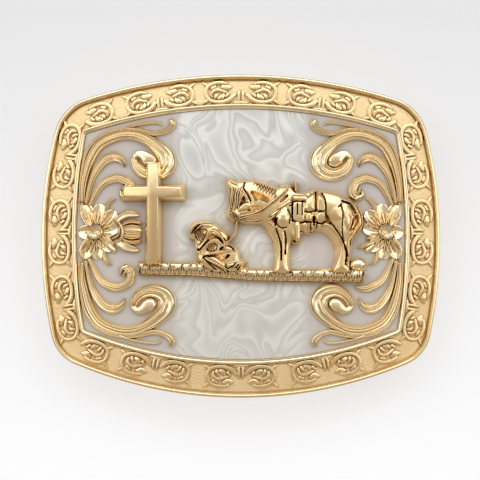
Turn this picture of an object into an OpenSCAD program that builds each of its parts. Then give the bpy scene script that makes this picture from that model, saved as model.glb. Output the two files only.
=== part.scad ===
// Western belt buckle, lying face up on its belt loop and hook peg. A cast frame with a
// border of ring-and-leaf medallions holds a field of pearl enamel. Raised on the field are
// four leaf scrolls, two flowers, a cross, a kneeling rider and a saddled horse.
// X runs along the belt, Y up the face and Z out of the face. The face is arched about Y.

/* [Frame] */
// Overall width across the side arcs
buckle_w = 100; // [90:1:110]
// Radius of the arch that follows the waist
arch_r = 350; // [320:10:600]
// Height of the plate's back above the resting surface, at the middle
back_lift = 12.2; // [12:0.1:13.4]
// Thickness of the plate under the enamel
floor_t = 1.8; // [1.5:0.1:2]
// Width of the polished outer rim
rim_w = 1.5; // [1.2:0.1:1.8]
// Height of the outer rim above the plate's back
rim_h = 3.9; // [3.6:0.1:4.4]
// Width of the bead round the field
bead_w = 1.2; // [1:0.05:1.4]
// Height of the bead above the plate's back
bead_h = 3.5; // [3.2:0.1:3.8]
// Height of the frosted border band above the plate's back
band_h = 2.6; // [2.3:0.1:2.9]

/* [Relief] */
// Thickness of the pearl enamel
enamel_t = 0.7; // [0.5:0.05:0.8]
// Height of the medallions above the border band
medallion_h = 0.5; // [0.3:0.05:0.6]
// Height of the scrolls' crests above the enamel
scroll_h = 1.3; // [0.9:0.1:1.6]
// Height of the flowers' petals above the enamel
flower_h = 1.6; // [1.2:0.1:2]
// Height of the cross above the enamel
cross_h = 3.9; // [3:0.1:4.4]
// Height of the grass strip above the enamel
ground_h = 2; // [1.6:0.1:2.4]
// Height of the rider and the horse above the enamel
figure_h = 3.8; // [3.2:0.1:4.2]

/* [Belt fittings] */
// Width of the belt that the loop takes
belt_w = 38; // [34:1:38]
// Radius of the loop's wire
wire_r = 2; // [1.7:0.1:2.2]
// Distance of the loop's bar from the middle of the buckle
bar_x = 38; // [35:0.5:39]
// Radius of the hook's peg
peg_r = 2.1; // [1.8:0.1:2.3]
// Distance of the peg's foot from the middle of the buckle
peg_x = 30; // [26:0.5:32]

/* [Hidden] */
gold = [0.87, 0.70, 0.40];
pearl = [0.93, 0.93, 0.91];

// The artwork is drawn for a buckle 100 mm wide and scales with the width
art = buckle_w / 100;
// Gap between pieces that rest on each other
gap = 0.08;
// Facets of the arch's long cylinders
arch_fn = 720;
// Height of the arch's axis
axis_z = back_lift - arch_r;
// Enamel surface and the underside of the relief, above the plate's back
enamel_z = floor_t + gap + enamel_t;
relief_z = enamel_z + gap;
// The field and its scrolls are mirrored top to bottom about this height
field_mid_y = 0.8;

// Points along each side arc and each corner of an outline
side_steps = 8;
corner_steps = 6;
min_corner_r = 0.3;
// Halves of outlines made of arcs with rounded corners, in one row: half width, height,
// radius of the side arcs, radius of the long arc, corner radius. The lower halves are more
// curved than the upper ones.
outer_upper = [50, 40, 106, 137, 11.6] * art;
outer_lower = [50, 40, 116, 110, 10] * art;
field_upper = [41, 30.7, 136, 130, 0.6] * art;
field_lower = [41, 31.4, 136, 106, 0.6] * art;

function inset(o, t) = [o[0] - t, o[1] - t, o[2] - t, o[3] - t, max(o[4] - t, min_corner_r)];
function dir(a) = [cos(a), sin(a)];
function top_centre(o) = [0, o[1] - o[3]];
function side_centre(o) = [o[0] - o[2], 0];

// Centre of the corner circle that touches the side arc and the top arc from inside
function corner_centre(o) =
    let (c1 = top_centre(o), c2 = side_centre(o), a = o[3] - o[4], b = o[2] - o[4])
    let (d = norm(c2 - c1), u = (c2 - c1) / d, m = (a * a - b * b + d * d) / (2 * d))
    c1 + u * m + [u[1], -u[0]] * sqrt(a * a - m * m);

// One quarter of an outline, from the right-hand side round to the top
function quarter(o) =
    let (c1 = top_centre(o), c2 = side_centre(o), cc = corner_centre(o))
    let (t_side = atan2(cc[1] - c2[1], cc[0] - c2[0]), t_top = atan2(cc[1] - c1[1], cc[0] - c1[0]))
    concat(
        [for (i = [0:side_steps - 1]) c2 + o[2] * dir(t_side * i / side_steps)],
        [for (i = [0:corner_steps]) cc + o[4] * dir(t_side + (t_top - t_side) * i / corner_steps)],
        [for (i = [1:side_steps]) c1 + o[3] * dir(t_top + (90 - t_top) * i / side_steps)]
    );

function outline(upper, lower) =
    let (q = quarter(upper), p = quarter(lower), n = len(q))
    concat(
        [for (i = [0:n - 2]) q[i]],
        [for (i = [n - 1:-1:1]) [-q[i][0], q[i][1]]],
        [for (i = [0:n - 2]) [-p[i][0], -p[i][1]]],
        [for (i = [n - 1:-1:1]) [p[i][0], -p[i][1]]]
    );

// The frame's and the field's outlines, drawn in by t
function frame_outline(t) = outline(inset(outer_upper, t), inset(outer_lower, t));
function field_outline(t) =
    [for (p = outline(inset(field_upper, t), inset(field_lower, t))) [p[0], p[1] + field_mid_y * art]];

// Height of the arch at x, for a surface h above the plate's back
function arch_z(x, h) = axis_z + sqrt(pow(arch_r + h, 2) - x * x);

// Everything between two heights above the plate's back
module arch_shell(low, high) {
    translate([0, 0, axis_z])
        rotate([90, 0, 0])
            difference() {
                cylinder(r = arch_r + high, h = 2 * buckle_w, center = true, $fn = arch_fn);
                cylinder(r = arch_r + low, h = 2 * buckle_w + 2, center = true, $fn = arch_fn);
            }
}

// A prism taller than the face, standing on the resting surface
module tall_prism(points) {
    linear_extrude(height = back_lift + 20) polygon(points);
}

// The part of an outline's prism between two heights above the plate's back
module slab(points, low, high) {
    intersection() {
        tall_prism(points);
        arch_shell(low, high);
    }
}

// Puts a shape drawn round the origin on the arch at artwork position p
module on_arch(p, h) {
    x = p[0] * art;
    translate([0, 0, axis_z])
        rotate([0, asin(x / (arch_r + h)), 0])
            translate([0, p[1] * art, arch_r + h])
                scale(art)
                    children();
}

// Border medallions. Each is a ring that opens along +x, with two thorns behind it and a
// three-lobed leaf inside.
ring_r = 2.85;
ring_w = 0.8;
ring_stretch = 1.2;
ring_open = 38;
ring_steps = 16;
thorn_steps = [6, 10];
thorn_r = 4.2;
leaf_r = 1.65;
leaf_steps = 12;
leaf_lobes = 3;
leaf_mean = 0.78;
leaf_swell = 0.3;
// Depth that the raised ornament is rooted into the band
root = 0.6;

function ring_angle(i) = ring_open + (360 - 2 * ring_open) * i / ring_steps;
function is_thorn(i) = i == thorn_steps[0] || i == thorn_steps[1];
function ring_points() = concat(
    [for (i = [0:ring_steps]) (is_thorn(i) ? thorn_r : ring_r) * dir(ring_angle(i))],
    [for (i = [ring_steps:-1:0]) (ring_r - ring_w) * dir(ring_angle(i))]
);
function leaf_points() = [
    for (i = [0:leaf_steps - 1])
        let (a = 360 * i / leaf_steps)
        leaf_r * (leaf_mean + leaf_swell * cos(leaf_lobes * a)) * dir(a)
];
function stretched(points) = [for (p = points) [p[0] * ring_stretch, p[1]]];

module ornament(p, turn, points) {
    on_arch(p, band_h - root)
        rotate([0, 0, turn])
            linear_extrude(height = root + medallion_h)
                polygon(points);
}

module medallion(p, turn) {
    ornament(p, turn, stretched(ring_points()));
    ornament(p, turn, leaf_points());
}

// Bracket between two medallions that face each other: two pointed posts on a flared foot.
// The foot is towards -y. One half of its outline, from the foot out and up to the post.
bracket_half = [[1.8, -2.1], [1.8, -1.5], [1.1, -1.0], [1.05, 1.1], [0.75, 1.7], [0.45, 1.1], [0.4, -1.0]];
bracket_points = concat(
    bracket_half,
    [for (i = [len(bracket_half) - 1:-1:0]) [-bracket_half[i][0], bracket_half[i][1]]]
);
// The brackets stand nearer to the bead than the band's middle
bracket_in = 0.5;

// Middle of the border band along the top, the bottom and the sides
band_top = 35.6;
band_top_r = 122;
band_bottom = 34.8;
band_bottom_r = 112;
band_side = 45.4;
band_side_r = 112;
top_xs = [5.6, 15.0, 25.3, 35.1];
top_bracket_xs = [0, 20.2];
bottom_xs = [5.2, 15.9, 26.4, 36.0];
bottom_bracket_xs = [0, 21.2];
side_mid_y = 0.95;
side_pitch = 9.5;

function band_y(x, middle, r) = middle - r + sqrt(r * r - x * x);
function band_x(y) = band_side - band_side_r + sqrt(band_side_r * band_side_r - y * y);

// One half of the border along the top (up = 1) or the bottom (up = -1)
module long_border(side, up, middle, r, xs, bracket_xs) {
    for (i = [0:len(xs) - 1]) {
        opens = (side > 0) == (i % 2 == 0) ? 180 : 0;
        medallion([side * xs[i], up * band_y(xs[i], middle, r)], opens - up * side * asin(xs[i] / r));
    }
    for (x = bracket_xs)
        if (side > 0 || x > 0)
            ornament([side * x, up * (band_y(x, middle, r) - bracket_in)],
                (up > 0 ? 0 : 180) - up * side * asin(x / r), bracket_points);
}

module side_border(side) {
    for (k = [0:5]) {
        y = side_mid_y + side_pitch * (k - 2.5);
        medallion([side * band_x(y), y], (k % 2 == 0 ? 90 : -90) + side * asin(y / band_side_r));
    }
    for (k = [-2, 0, 2]) {
        y = side_mid_y + side_pitch * k;
        ornament([side * (band_x(y) - bracket_in), y], side * (asin(y / band_side_r) - 90), bracket_points);
    }
}

module buckle_body() {
    color(gold)
        union() {
            difference() {
                slab(frame_outline(0), 0, rim_h);
                difference() {
                    slab(frame_outline(rim_w), band_h, rim_h + 1);
                    tall_prism(field_outline(-bead_w));
                }
                slab(field_outline(-bead_w), bead_h, rim_h + 1);
                slab(field_outline(0), floor_t, rim_h + 1);
            }
            for (side = [1, -1]) {
                long_border(side, 1, band_top, band_top_r, top_xs, top_bracket_xs);
                long_border(side, -1, band_bottom, band_bottom_r, bottom_xs, bottom_bracket_xs);
                side_border(side);
            }
        }
}

module pearl_enamel() {
    color(pearl)
        slab(field_outline(gap), floor_t + gap, enamel_z);
}

// Leaf scroll of the top right corner. Rows of the ribbons: x, y, width.
big_volute = [
    [39.4, 8.6, 1.2], [39.3, 12.4, 1.5], [38.6, 16.2, 2.0], [37.5, 19.6, 2.5], [35.6, 22.6, 2.7],
    [33.0, 24.2, 2.7], [29.9, 25.1, 2.6], [26.7, 24.9, 2.8], [23.8, 23.6, 3.2], [21.1, 21.6, 3.9],
    [19.5, 19.5, 4.8], [19.4, 17.3, 4.8], [20.7, 15.8, 4.2], [22.9, 15.2, 3.6], [25.0, 15.7, 3.2],
    [26.6, 17.1, 2.7], [27.2, 18.6, 2.1], [27.0, 19.6, 1.4], [26.4, 20.2, 0.5]
];
rim_curl = [
    [29.4, 26.0, 1.0], [26.6, 26.2, 1.2], [24.5, 25.9, 1.3], [22.4, 25.4, 1.4],
    [20.3, 25.9, 1.6], [18.7, 26.8, 1.8], [18.0, 27.8, 1.9], [18.2, 28.6, 1.6]
];
plume = [
    [38.6, 8.2, 1.2], [38.0, 11.4, 1.3], [37.0, 14.9, 1.8], [35.9, 17.0, 2.3], [34.3, 18.9, 2.6],
    [32.6, 19.7, 2.8], [31.0, 19.5, 2.5], [29.9, 18.6, 1.7], [29.4, 17.1, 0.4]
];
small_volute = [
    [37.8, 7.6, 1.2], [36.8, 9.5, 1.4], [35.6, 11.9, 1.8], [34.2, 13.4, 2.1], [32.6, 14.1, 2.3],
    [31.2, 14.4, 2.4], [29.8, 14.0, 2.4], [28.5, 13.2, 2.5], [27.8, 11.8, 2.5], [27.9, 10.4, 2.4],
    [28.9, 9.5, 2.1]
];
// Rows of the round strands: x, y, radius, height as a share of the scroll's
rim_strand = [[30.4, 26.3, 0.5, 0.7], [28.4, 27.1, 0.4, 0.8], [26.0, 27.7, 0.4, 0.8], [23.5, 28.1, 0.4, 0.7],
    [21.4, 28.1, 0.35, 0.6], [20.8, 27.5, 0.3, 0.5]];
pad = [[22.2, 17.6, 1.0, 0.9], [25.6, 20.0, 1.2, 0.9]];
knob = [[29.5, 9.6, 1.1, 1], [30.4, 10.2, 1.1, 1.05], [30.3, 11.0, 0.6, 0.9]];
// Where the grass crosses the bottom right scroll, its small volute tapers off below the
// grass and comes out above it as a dome
to_grass = concat([for (i = [0:4]) small_volute[i]], [[31.2, 14.7, 2.1], [29.9, 14.7, 1.6], [28.6, 14.4, 1.0]]);
dome = [[28.9, 8.9, 1.4, 1.05], [29.3, 8.85, 1.5, 1.15], [29.7, 8.9, 1.3, 1.0]];

// Section of a ribbon across its width, from edge to edge: three ridges, two ridges, or one
// round back
three_ridges = [[-1, 0], [-0.75, 0.9], [-0.35, 0.55], [0, 1], [0.35, 0.55], [0.75, 0.9], [1, 0]];
two_ridges = [[-1, 0], [-0.55, 1], [0, 0.5], [0.55, 1], [1, 0]];
round_back = [[-1, 0], [-0.9, 0.5], [-0.35, 1], [0.35, 1], [0.9, 0.5], [1, 0]];

// Full height is reached where a ribbon is this wide
full_width = 2.4;
tip_share = 0.4;
// Weights of the near and the far rows in a row put between two others
near_weight = 0.5625;
far_weight = 0.0625;

function ribbon_height(w) = scroll_h * (tip_share + (1 - tip_share) * min(1, w / full_width));
function between(rows, i) =
    let (n = len(rows), a = rows[max(i - 1, 0)], b = rows[i], c = rows[i + 1], d = rows[min(i + 2, n - 1)])
    (b + c) * near_weight - (a + d) * far_weight;
function finer(rows) = [
    for (i = [0:2 * len(rows) - 2])
        i % 2 == 0 ? rows[i / 2] : between(rows, (i - 1) / 2)
];
function heading(rows, i) =
    let (a = rows[max(i - 1, 0)], b = rows[min(i + 1, len(rows) - 1)], v = [b[0] - a[0], b[1] - a[1]])
    v / norm(v);
function ribbon_ring(rows, i, section) =
    let (t = heading(rows, i), w = rows[i][2], h = ribbon_height(w))
    [for (s = section)
        let (x = (rows[i][0] + t[1] * s[0] * w / 2) * art, y = (rows[i][1] - t[0] * s[0] * w / 2) * art)
        [x, y, arch_z(x, relief_z + s[1] * h * art)]];

// A leaf ribbon swept along its rows, closed at both ends
module ribbon(rows, section) {
    n = len(section);
    m = len(rows);
    wall = [
        for (i = [0:m - 2]) for (k = [0:n - 1])
            let (a = i * n + k, b = i * n + (k + 1) % n)
            each [[a, a + n, b], [a + n, b + n, b]]
    ];
    polyhedron(
        points = [for (i = [0:m - 1]) each ribbon_ring(rows, i, section)],
        faces = concat([[for (k = [0:n - 1]) k]], [[for (k = [n - 1:-1:0]) (m - 1) * n + k]], wall),
        convexity = 8
    );
}

// A low mound standing on the enamel: x, y, radius, height
leaf_sides = 5;
figure_sides = 8;
mound_top = 0.5;

module mound(row, full, sides) {
    on_arch([row[0], row[1]], relief_z)
        cylinder(r1 = row[2], r2 = row[2] * mound_top, h = row[3] * full, $fn = sides);
}

// Mounds joined one to the next
module strand(rows, full, sides) {
    for (i = [0:len(rows) - 2])
        hull() {
            mound(rows[i], full, sides);
            mound(rows[i + 1], full, sides);
        }
}

// The left scrolls reach further in from the field's end than the right ones
left_reach = 1.05;
scroll_end_x = 40;

function reached(rows, reach) = [for (r = rows)
    concat([scroll_end_x - (scroll_end_x - r[0]) * reach], [for (i = [1:len(r) - 1]) r[i]])];

// A corner's scroll, with its smallest volute and what that ends in
module scroll(side, up, volute, end) {
    reach = side < 0 ? left_reach : 1;
    translate([0, field_mid_y * art, 0])
        scale([side, up, 1])
            translate([0, -field_mid_y * art, 0]) {
                ribbon(finer(reached(big_volute, reach)), three_ridges);
                ribbon(reached(rim_curl, reach), round_back);
                ribbon(reached(plume, reach), two_ridges);
                ribbon(finer(reached(volute, reach)), two_ridges);
                for (rows = [rim_strand, pad, end])
                    strand(reached(rows, reach), scroll_h, leaf_sides);
            }
}

// Room kept round what crosses a scroll or a figure
room = 0.1;

module scroll_top_left() {
    color(gold)
        difference() {
            scroll(-1, 1, small_volute, knob);
            cross_form(room);
        }
}

module scroll_top_right() { color(gold) scroll(1, 1, small_volute, knob); }
module scroll_bottom_left() { color(gold) scroll(-1, -1, small_volute, knob); }

module scroll_bottom_right() { color(gold) scroll(1, -1, to_grass, dome); }

// Flower of the left side, drawn from its middle. Rows of the petals: tip x, tip y, width.
flower_at = [-36.2, 0.9];
petals = [[-2.3, 4.7, 3.5], [1.0, 5.0, 3.6], [3.9, 3.9, 3.4], [4.3, 0.3, 3.4], [3.1, -3.6, 3.4],
    [0.3, -5.0, 3.6], [-2.6, -4.3, 3.5], [-3.3, 0.5, 3.2]];
// Stations along a petal: share of the way to its tip, radius as a share of its width, height
petal_stations = [[0.3, 0.25, 1], [0.7, 0.5, 0.85], [0.95, 0.25, 0.5]];
eye_r = 1.7;
eye_top_r = 1.45;
eye_h = 1.15;
eye_sides = 16;
bud_at = 9.4;
// Ribs of the bud: y and half length
bud_ribs = [[-2.1, 1.0], [-1.05, 1.9], [0, 2.2], [1.05, 1.9], [2.1, 1.0]];
bud_rib_r = 0.66;
bud_end_r = 0.5;
bud_end_h = 0.7;
stalk = [[4.0, 0.2, 0.5, 0.7], [6.6, 0, 0.7, 0.8]];
cup = [[5.4, -1.9, 0.7, 0.8], [6.6, 0, 1.1, 0.9], [5.6, 1.9, 0.7, 0.8]];
leaf_above = [[6.0, 2.3, 0.5, 0.6], [8.6, 3.9, 0.8, 0.8], [10.8, 4.2, 0.35, 0.5]];
leaf_below = [[5.6, -2.8, 0.6, 0.6], [8.0, -3.5, 0.7, 0.8], [10.2, -4.0, 0.35, 0.5]];
leaf_up = [[2.6, 4.2, 0.5, 0.6], [2.5, 6.2, 0.6, 0.7], [3.4, 7.5, 0.7, 0.8], [4.4, 8.1, 0.35, 0.5]];
leaf_down = [[2.2, -4.0, 0.5, 0.6], [1.9, -5.6, 0.6, 0.7], [2.9, -7.2, 0.7, 0.8], [3.8, -7.9, 0.35, 0.5]];
ball_leaf = [[3.2, -3.7, 0.7, 0.7], [4.6, -4.3, 0.8, 0.7]];

function from_flower(rows) = [for (r = rows) [r[0] + flower_at[0], r[1] + flower_at[1], r[2], r[3]]];
function petal_rows(p) = [for (s = petal_stations) [p[0] * s[0], p[1] * s[0], p[2] * s[1], s[2]]];
function rib_rows(r) = [
    [bud_at - r[1], r[0], bud_end_r, bud_end_h],
    [bud_at, r[0] * 1.1, bud_rib_r, 1],
    [bud_at + r[1], r[0], bud_end_r, bud_end_h]
];

module flower_strand(rows) { strand(from_flower(rows), flower_h, leaf_sides); }

module daisy() {
    for (p = petals) flower_strand(petal_rows(p));
    for (leaf = [leaf_up, leaf_down, ball_leaf]) flower_strand(leaf);
    on_arch(flower_at, relief_z)
        cylinder(r1 = eye_r, r2 = eye_top_r, h = flower_h * eye_h, $fn = eye_sides);
}

module bud() {
    for (r = bud_ribs) flower_strand(rib_rows(r));
    for (part = [stalk, cup, leaf_above, leaf_below]) flower_strand(part);
}

module flower_left() {
    color(gold)
        union() {
            daisy();
            bud();
        }
}

module flower_right() { color(gold) scale([-1, 1, 1]) daisy(); }

// Grass strip: corners of its lower edge, and a top edge that carries the blades
ground_left = -25.4;
ground_right = 30.4;
blade_pitch = 0.9;
blade_h = 0.3;
ground_bottom = [[30.4, -11.5], [15, -11.4], [4, -11.2], [0, -10.9], [-12, -10.0], [-25.4, -9.7]];
// The top edge drops between these two places
drop_left = [-12, -7.3];
drop_right = [2, -9.0];

function ground_top(x) =
    drop_left[1] + (drop_right[1] - drop_left[1])
        * min(1, max(0, (x - drop_left[0]) / (drop_right[0] - drop_left[0])));
blades = floor((ground_right - ground_left) / blade_pitch);
ground_points = concat(ground_bottom, [
    for (i = [0:blades]) let (x = ground_left + (ground_right - ground_left) * i / blades)
        [x, ground_top(x) - (i % 2) * blade_h]
]);

module ground_strip() {
    color(gold) slab(ground_points * art, relief_z, relief_z + ground_h * art);
}

// Room round the grass, a block with a plain top edge
module ground_room() {
    left = ground_left - room;
    right = ground_right + room;
    low = ground_bottom[0][1] - room;
    block = [
        [left, drop_left[1] + gap], [left, low], [right, low], [right, drop_right[1] + gap],
        drop_right + [0, gap], drop_left + [0, gap]
    ];
    slab(block * art, relief_z - gap / 2, relief_z + ground_h * art + gap);
}

// Cross: face sizes, with walls that lean out to the enamel
cross_x = -21.6;
stem_w = 2.6;
stem_top_y = 17.6;
arm_y = 10.6;
arm_w = 2.5;
arm_len = 14.2;
cross_draft = 1.1;
cross_edge = 0.25;
cross_base_t = 0.3;
// The stem's wall reaches down to the grass
stem_foot_y = ground_top(cross_x) + gap + cross_draft;

module cross_layer(low, high, out, top) {
    translate([low[0] - out, low[1] - out, 0])
        cube([high[0] - low[0] + 2 * out, high[1] - low[1] + 2 * out, top]);
}

// A bar with leaning walls and a bevel round its face, made wider all round by grow and
// deeper by twice that
module cross_bar(low, high, grow) {
    on_arch([cross_x, 0], relief_z)
        translate([-cross_x, 0, 0])
            hull() {
                translate([0, 0, -2 * grow]) cross_layer(low, high, cross_draft + grow, cross_base_t);
                cross_layer(low, high, cross_draft + grow, cross_base_t);
                cross_layer(low, high, cross_edge + grow, cross_h - cross_edge);
                cross_layer(low, high, grow, cross_h);
            }
}

module cross_form(grow) {
    cross_bar([cross_x - stem_w / 2, stem_foot_y], [cross_x + stem_w / 2, stem_top_y], grow);
    cross_bar([cross_x - arm_len / 2, arm_y - arm_w / 2], [cross_x + arm_len / 2, arm_y + arm_w / 2], grow);
}

module cross() { color(gold) union() cross_form(0); }

// Kneeling rider. Rows: x, y, radius, height as a share of the full height.
hat_brim = [[-12.1, -0.4, 0.5, 0.75], [-11.9, 1.1, 0.6, 0.8], [-10.9, 2.1, 0.7, 0.85], [-9.4, 2.6, 0.7, 0.9],
    [-7.9, 2.6, 0.6, 0.85], [-6.9, 2.2, 0.5, 0.8]];
hat_crown = [[-10.9, 1.2, 1.0, 0.95], [-9.2, 1.5, 1.3, 1]];
head = [[-9.9, -0.3, 1.4, 0.85], [-8.9, 0.5, 1.5, 0.85]];
forearm = [[-10.6, -3.7, 0.8, 0.8], [-11.1, -1.2, 0.7, 0.75]];
upper_arm = [[-10.4, -3.8, 0.9, 0.85], [-7.4, -0.6, 1.1, 0.95]];
back = [[-7.6, 0.2, 1.5, 0.9], [-5.6, -0.9, 1.6, 0.9], [-3.9, -2.6, 1.4, 0.85]];
torso = [[-7.4, -2.6, 1.8, 0.7], [-4.6, -3.2, 1.8, 0.75]];
hip = [[-4.0, -3.4, 1.6, 0.85], [-2.5, -4.2, 1.5, 0.85]];
thigh = [[-2.8, -4.7, 1.4, 0.9], [-9.3, -5.2, 1.3, 0.9]];
shin = [[-9.0, -6.2, 1.2, 0.8], [-4.6, -8.3, 1.3, 0.8]];
calf = [[-7.6, -6.6, 1.0, 0.6], [-3.0, -6.8, 1.4, 0.7]];
boot = [[-3.0, -8.1, 1.3, 0.85], [-0.9, -7.6, 1.1, 0.8], [1.1, -6.6, 0.35, 0.6]];

module figure(strands) {
    color(gold)
        difference() {
            union() {
                for (rows = strands) strand(rows, figure_h, figure_sides);
            }
            ground_room();
        }
}

module kneeling_rider() {
    figure([hat_brim, hat_crown, head, forearm, upper_arm, back, torso, hip, thigh, shin, calf, boot]);
}

// Standing horse with its tack. Rows as for the rider.
neck = [[9.6, 7.4, 4.2, 0.75], [5.0, 9.0, 3.6, 0.75], [1.8, 9.9, 2.8, 0.8]];
cheek = [[1.2, 9.0, 2.6, 0.85], [-0.8, 8.8, 2.0, 0.85]];
face = [[-0.9, 10.8, 1.6, 0.85], [-2.0, 7.6, 1.5, 0.85], [-2.4, 5.0, 1.3, 0.8]];
ear = [[-1.4, 12.4, 0.7, 0.8], [-3.2, 13.9, 0.3, 0.7]];
throat = [[0.6, 4.7, 1.2, 0.55], [5.4, 4.6, 1.4, 0.55]];
chest = [[7.4, 5.0, 2.2, 0.8], [10.6, 4.6, 3.2, 0.85]];
barrel = [[10.0, 6.2, 4.6, 0.8], [15.5, 5.8, 4.4, 0.85], [21.0, 6.4, 4.3, 0.85]];
rump = [[21.0, 6.6, 4.2, 0.9], [24.2, 6.2, 4.0, 0.9]];
near_fore = [[8.0, 2.0, 1.9, 0.75], [9.5, -2.6, 1.1, 0.7], [9.9, -6.8, 0.8, 0.65], [9.9, -9.4, 1.0, 0.7]];
far_fore = [[11.2, 1.4, 1.7, 0.7], [11.2, -3.6, 0.9, 0.6], [11.4, -9.0, 0.8, 0.6]];
near_hind = [[24.6, 3.6, 3.0, 0.85], [25.0, -1.4, 1.6, 0.75], [26.1, -4.2, 1.1, 0.7],
    [25.3, -9.4, 1.0, 0.7]];
far_hind = [[22.4, 2.6, 1.8, 0.65], [24.0, -1.8, 1.2, 0.6], [24.2, -7.6, 0.8, 0.55]];
tail = [[27.4, 8.0, 0.7, 0.7], [29.8, 6.2, 0.9, 0.7], [29.8, 3.2, 1.1, 0.7], [28.2, -0.8, 1.3, 0.7],
    [27.4, -5.2, 0.6, 0.55]];
saddle = [[12.2, 10.4, 1.4, 0.95], [14.8, 9.4, 1.4, 1], [17.6, 10.0, 1.4, 0.95]];
horn = [[12.6, 11.4, 0.7, 0.85], [13.5, 12.6, 0.5, 0.8]];
cantle = [[18.0, 10.6, 1.0, 0.85], [18.4, 11.6, 0.5, 0.8]];
saddle_bag = [[18.0, 8.0, 2.1, 1], [19.0, 5.0, 1.7, 0.95]];
saddle_flap = [[14.2, 8.0, 1.5, 1], [14.5, 4.6, 1.4, 0.95]];
stirrup = [[14.0, 3.4, 0.8, 0.95], [14.0, -0.6, 0.8, 0.9]];
upper_strap = [[12.0, 12.0, 0.45, 0.9], [5.4, 6.6, 0.45, 0.85]];
lower_strap = [[12.6, 8.8, 0.5, 0.95], [6.9, 4.4, 0.5, 0.9]];
rein = [[-1.1, 4.2, 0.6, 0.6], [-1.4, 1.2, 0.5, 0.6], [-2.5, -0.8, 0.42, 0.6]];

module horse() {
    figure([neck, cheek, face, ear, throat, chest, barrel, rump, near_fore, far_fore, near_hind, far_hind,
        tail, saddle, horn, cantle, saddle_bag, saddle_flap, stirrup, upper_strap, lower_strap, rein]);
}

// Puts a shape drawn below the origin under the plate at x, clear of its curved back
foot_gap = 0.1;
module under_arch(x) {
    translate([0, 0, axis_z])
        rotate([0, asin(x / arch_r), 0])
            translate([0, 0, arch_r - foot_gap])
                children();
}

// Belt loop: a wire bent into a U whose bar rests on the surface. Its two ends are
// flattened into feet under the plate.
loop_half_y = belt_w / 2 + 1 + wire_r;
loop_bend_r = 5;
foot_x = 17;
foot_size = [7, 6, 1.6];
wire_top_gap = 0.3;
wire_z = arch_z(foot_x, 0) - wire_top_gap - wire_r;
loop_rise = wire_z - wire_r;
loop_run = bar_x - foot_x;
loop_len = norm([loop_run, loop_rise]);
loop_tilt = atan2(loop_rise, loop_run);
round_fn = 48;

module loop_arm(side) {
    translate([0, side * loop_half_y, 0])
        rotate([0, 90, 0])
            cylinder(r = wire_r, h = loop_len - loop_bend_r, $fn = round_fn);
    translate([loop_len - loop_bend_r, side * (loop_half_y - loop_bend_r), 0])
        rotate([0, 0, side > 0 ? 0 : -90])
            rotate_extrude(angle = 90, $fn = round_fn)
                translate([loop_bend_r, 0, 0]) circle(r = wire_r, $fn = round_fn);
}

module loop_bar() {
    translate([loop_len, 0, 0])
        rotate([90, 0, 0])
            cylinder(r = wire_r, h = 2 * (loop_half_y - loop_bend_r), center = true, $fn = round_fn);
}

module loop_foot(side) {
    under_arch(foot_x)
        translate([-foot_size[0] / 2, side * loop_half_y - foot_size[1] / 2, -foot_size[2]])
            cube(foot_size);
}

module belt_loop() {
    color(gold)
        union() {
            translate([foot_x, 0, wire_z])
                rotate([0, loop_tilt, 0]) {
                    loop_arm(1);
                    loop_arm(-1);
                    loop_bar();
                }
            loop_foot(1);
            loop_foot(-1);
        }
}

// Hook: a peg that leans out towards the belt's end, on a narrow neck and a round foot under
// the plate
peg_foot_r = 4;
peg_foot_t = 1.4;
peg_neck_r = 1.6;
peg_neck_len = 1.4;
peg_lean_x = 1.8;
peg_tip = [-peg_x - peg_lean_x, 0, peg_r];
peg_root = [-peg_x, 0, arch_z(peg_x, 0) - foot_gap - peg_foot_t / 2];
peg_len = norm(peg_root - peg_tip);
peg_lean = atan2(peg_lean_x, peg_root[2] - peg_tip[2]);

module belt_hook() {
    color(gold)
        union() {
            under_arch(-peg_x)
                translate([0, 0, -peg_foot_t])
                    cylinder(r = peg_foot_r, h = peg_foot_t, $fn = round_fn);
            translate(peg_tip) {
                rotate([0, peg_lean, 0]) {
                    cylinder(r = peg_r, h = peg_len - peg_foot_t / 2 - peg_neck_len, $fn = round_fn);
                    cylinder(r = peg_neck_r, h = peg_len, $fn = round_fn);
                }
                sphere(r = peg_r, $fn = round_fn);
            }
        }
}

buckle_body();
pearl_enamel();
scroll_top_left();
scroll_top_right();
scroll_bottom_left();
scroll_bottom_right();
flower_left();
flower_right();
cross();
ground_strip();
kneeling_rider();
horse();
belt_loop();
belt_hook();
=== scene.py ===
"""Western belt buckle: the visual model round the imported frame.

The artwork is drawn flat in millimetres, x along the belt and y up the face, with heights above
the plate's back for the border and above the enamel for the relief. It is then laid on the arch
of the plate and turned into metres.
"""

import math

import bmesh
import bpy
from mathutils import Matrix, Vector, kdtree


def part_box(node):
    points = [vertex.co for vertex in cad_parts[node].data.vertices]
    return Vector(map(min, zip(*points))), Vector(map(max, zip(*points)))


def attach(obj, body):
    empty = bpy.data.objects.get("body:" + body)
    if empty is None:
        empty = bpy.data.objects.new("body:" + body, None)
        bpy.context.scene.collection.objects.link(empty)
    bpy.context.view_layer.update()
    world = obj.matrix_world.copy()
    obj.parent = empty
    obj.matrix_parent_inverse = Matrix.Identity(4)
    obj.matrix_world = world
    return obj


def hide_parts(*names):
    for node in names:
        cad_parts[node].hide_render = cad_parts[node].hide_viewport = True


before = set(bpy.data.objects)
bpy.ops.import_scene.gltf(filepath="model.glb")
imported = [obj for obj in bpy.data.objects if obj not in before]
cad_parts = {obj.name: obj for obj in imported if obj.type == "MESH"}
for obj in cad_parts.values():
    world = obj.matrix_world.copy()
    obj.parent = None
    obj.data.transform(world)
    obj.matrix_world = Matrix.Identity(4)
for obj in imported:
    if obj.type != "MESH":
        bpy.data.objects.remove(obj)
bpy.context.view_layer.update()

MM = 0.001
# Points of a drawing that are nearer than this are merged
MERGE = 0.0002

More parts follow.
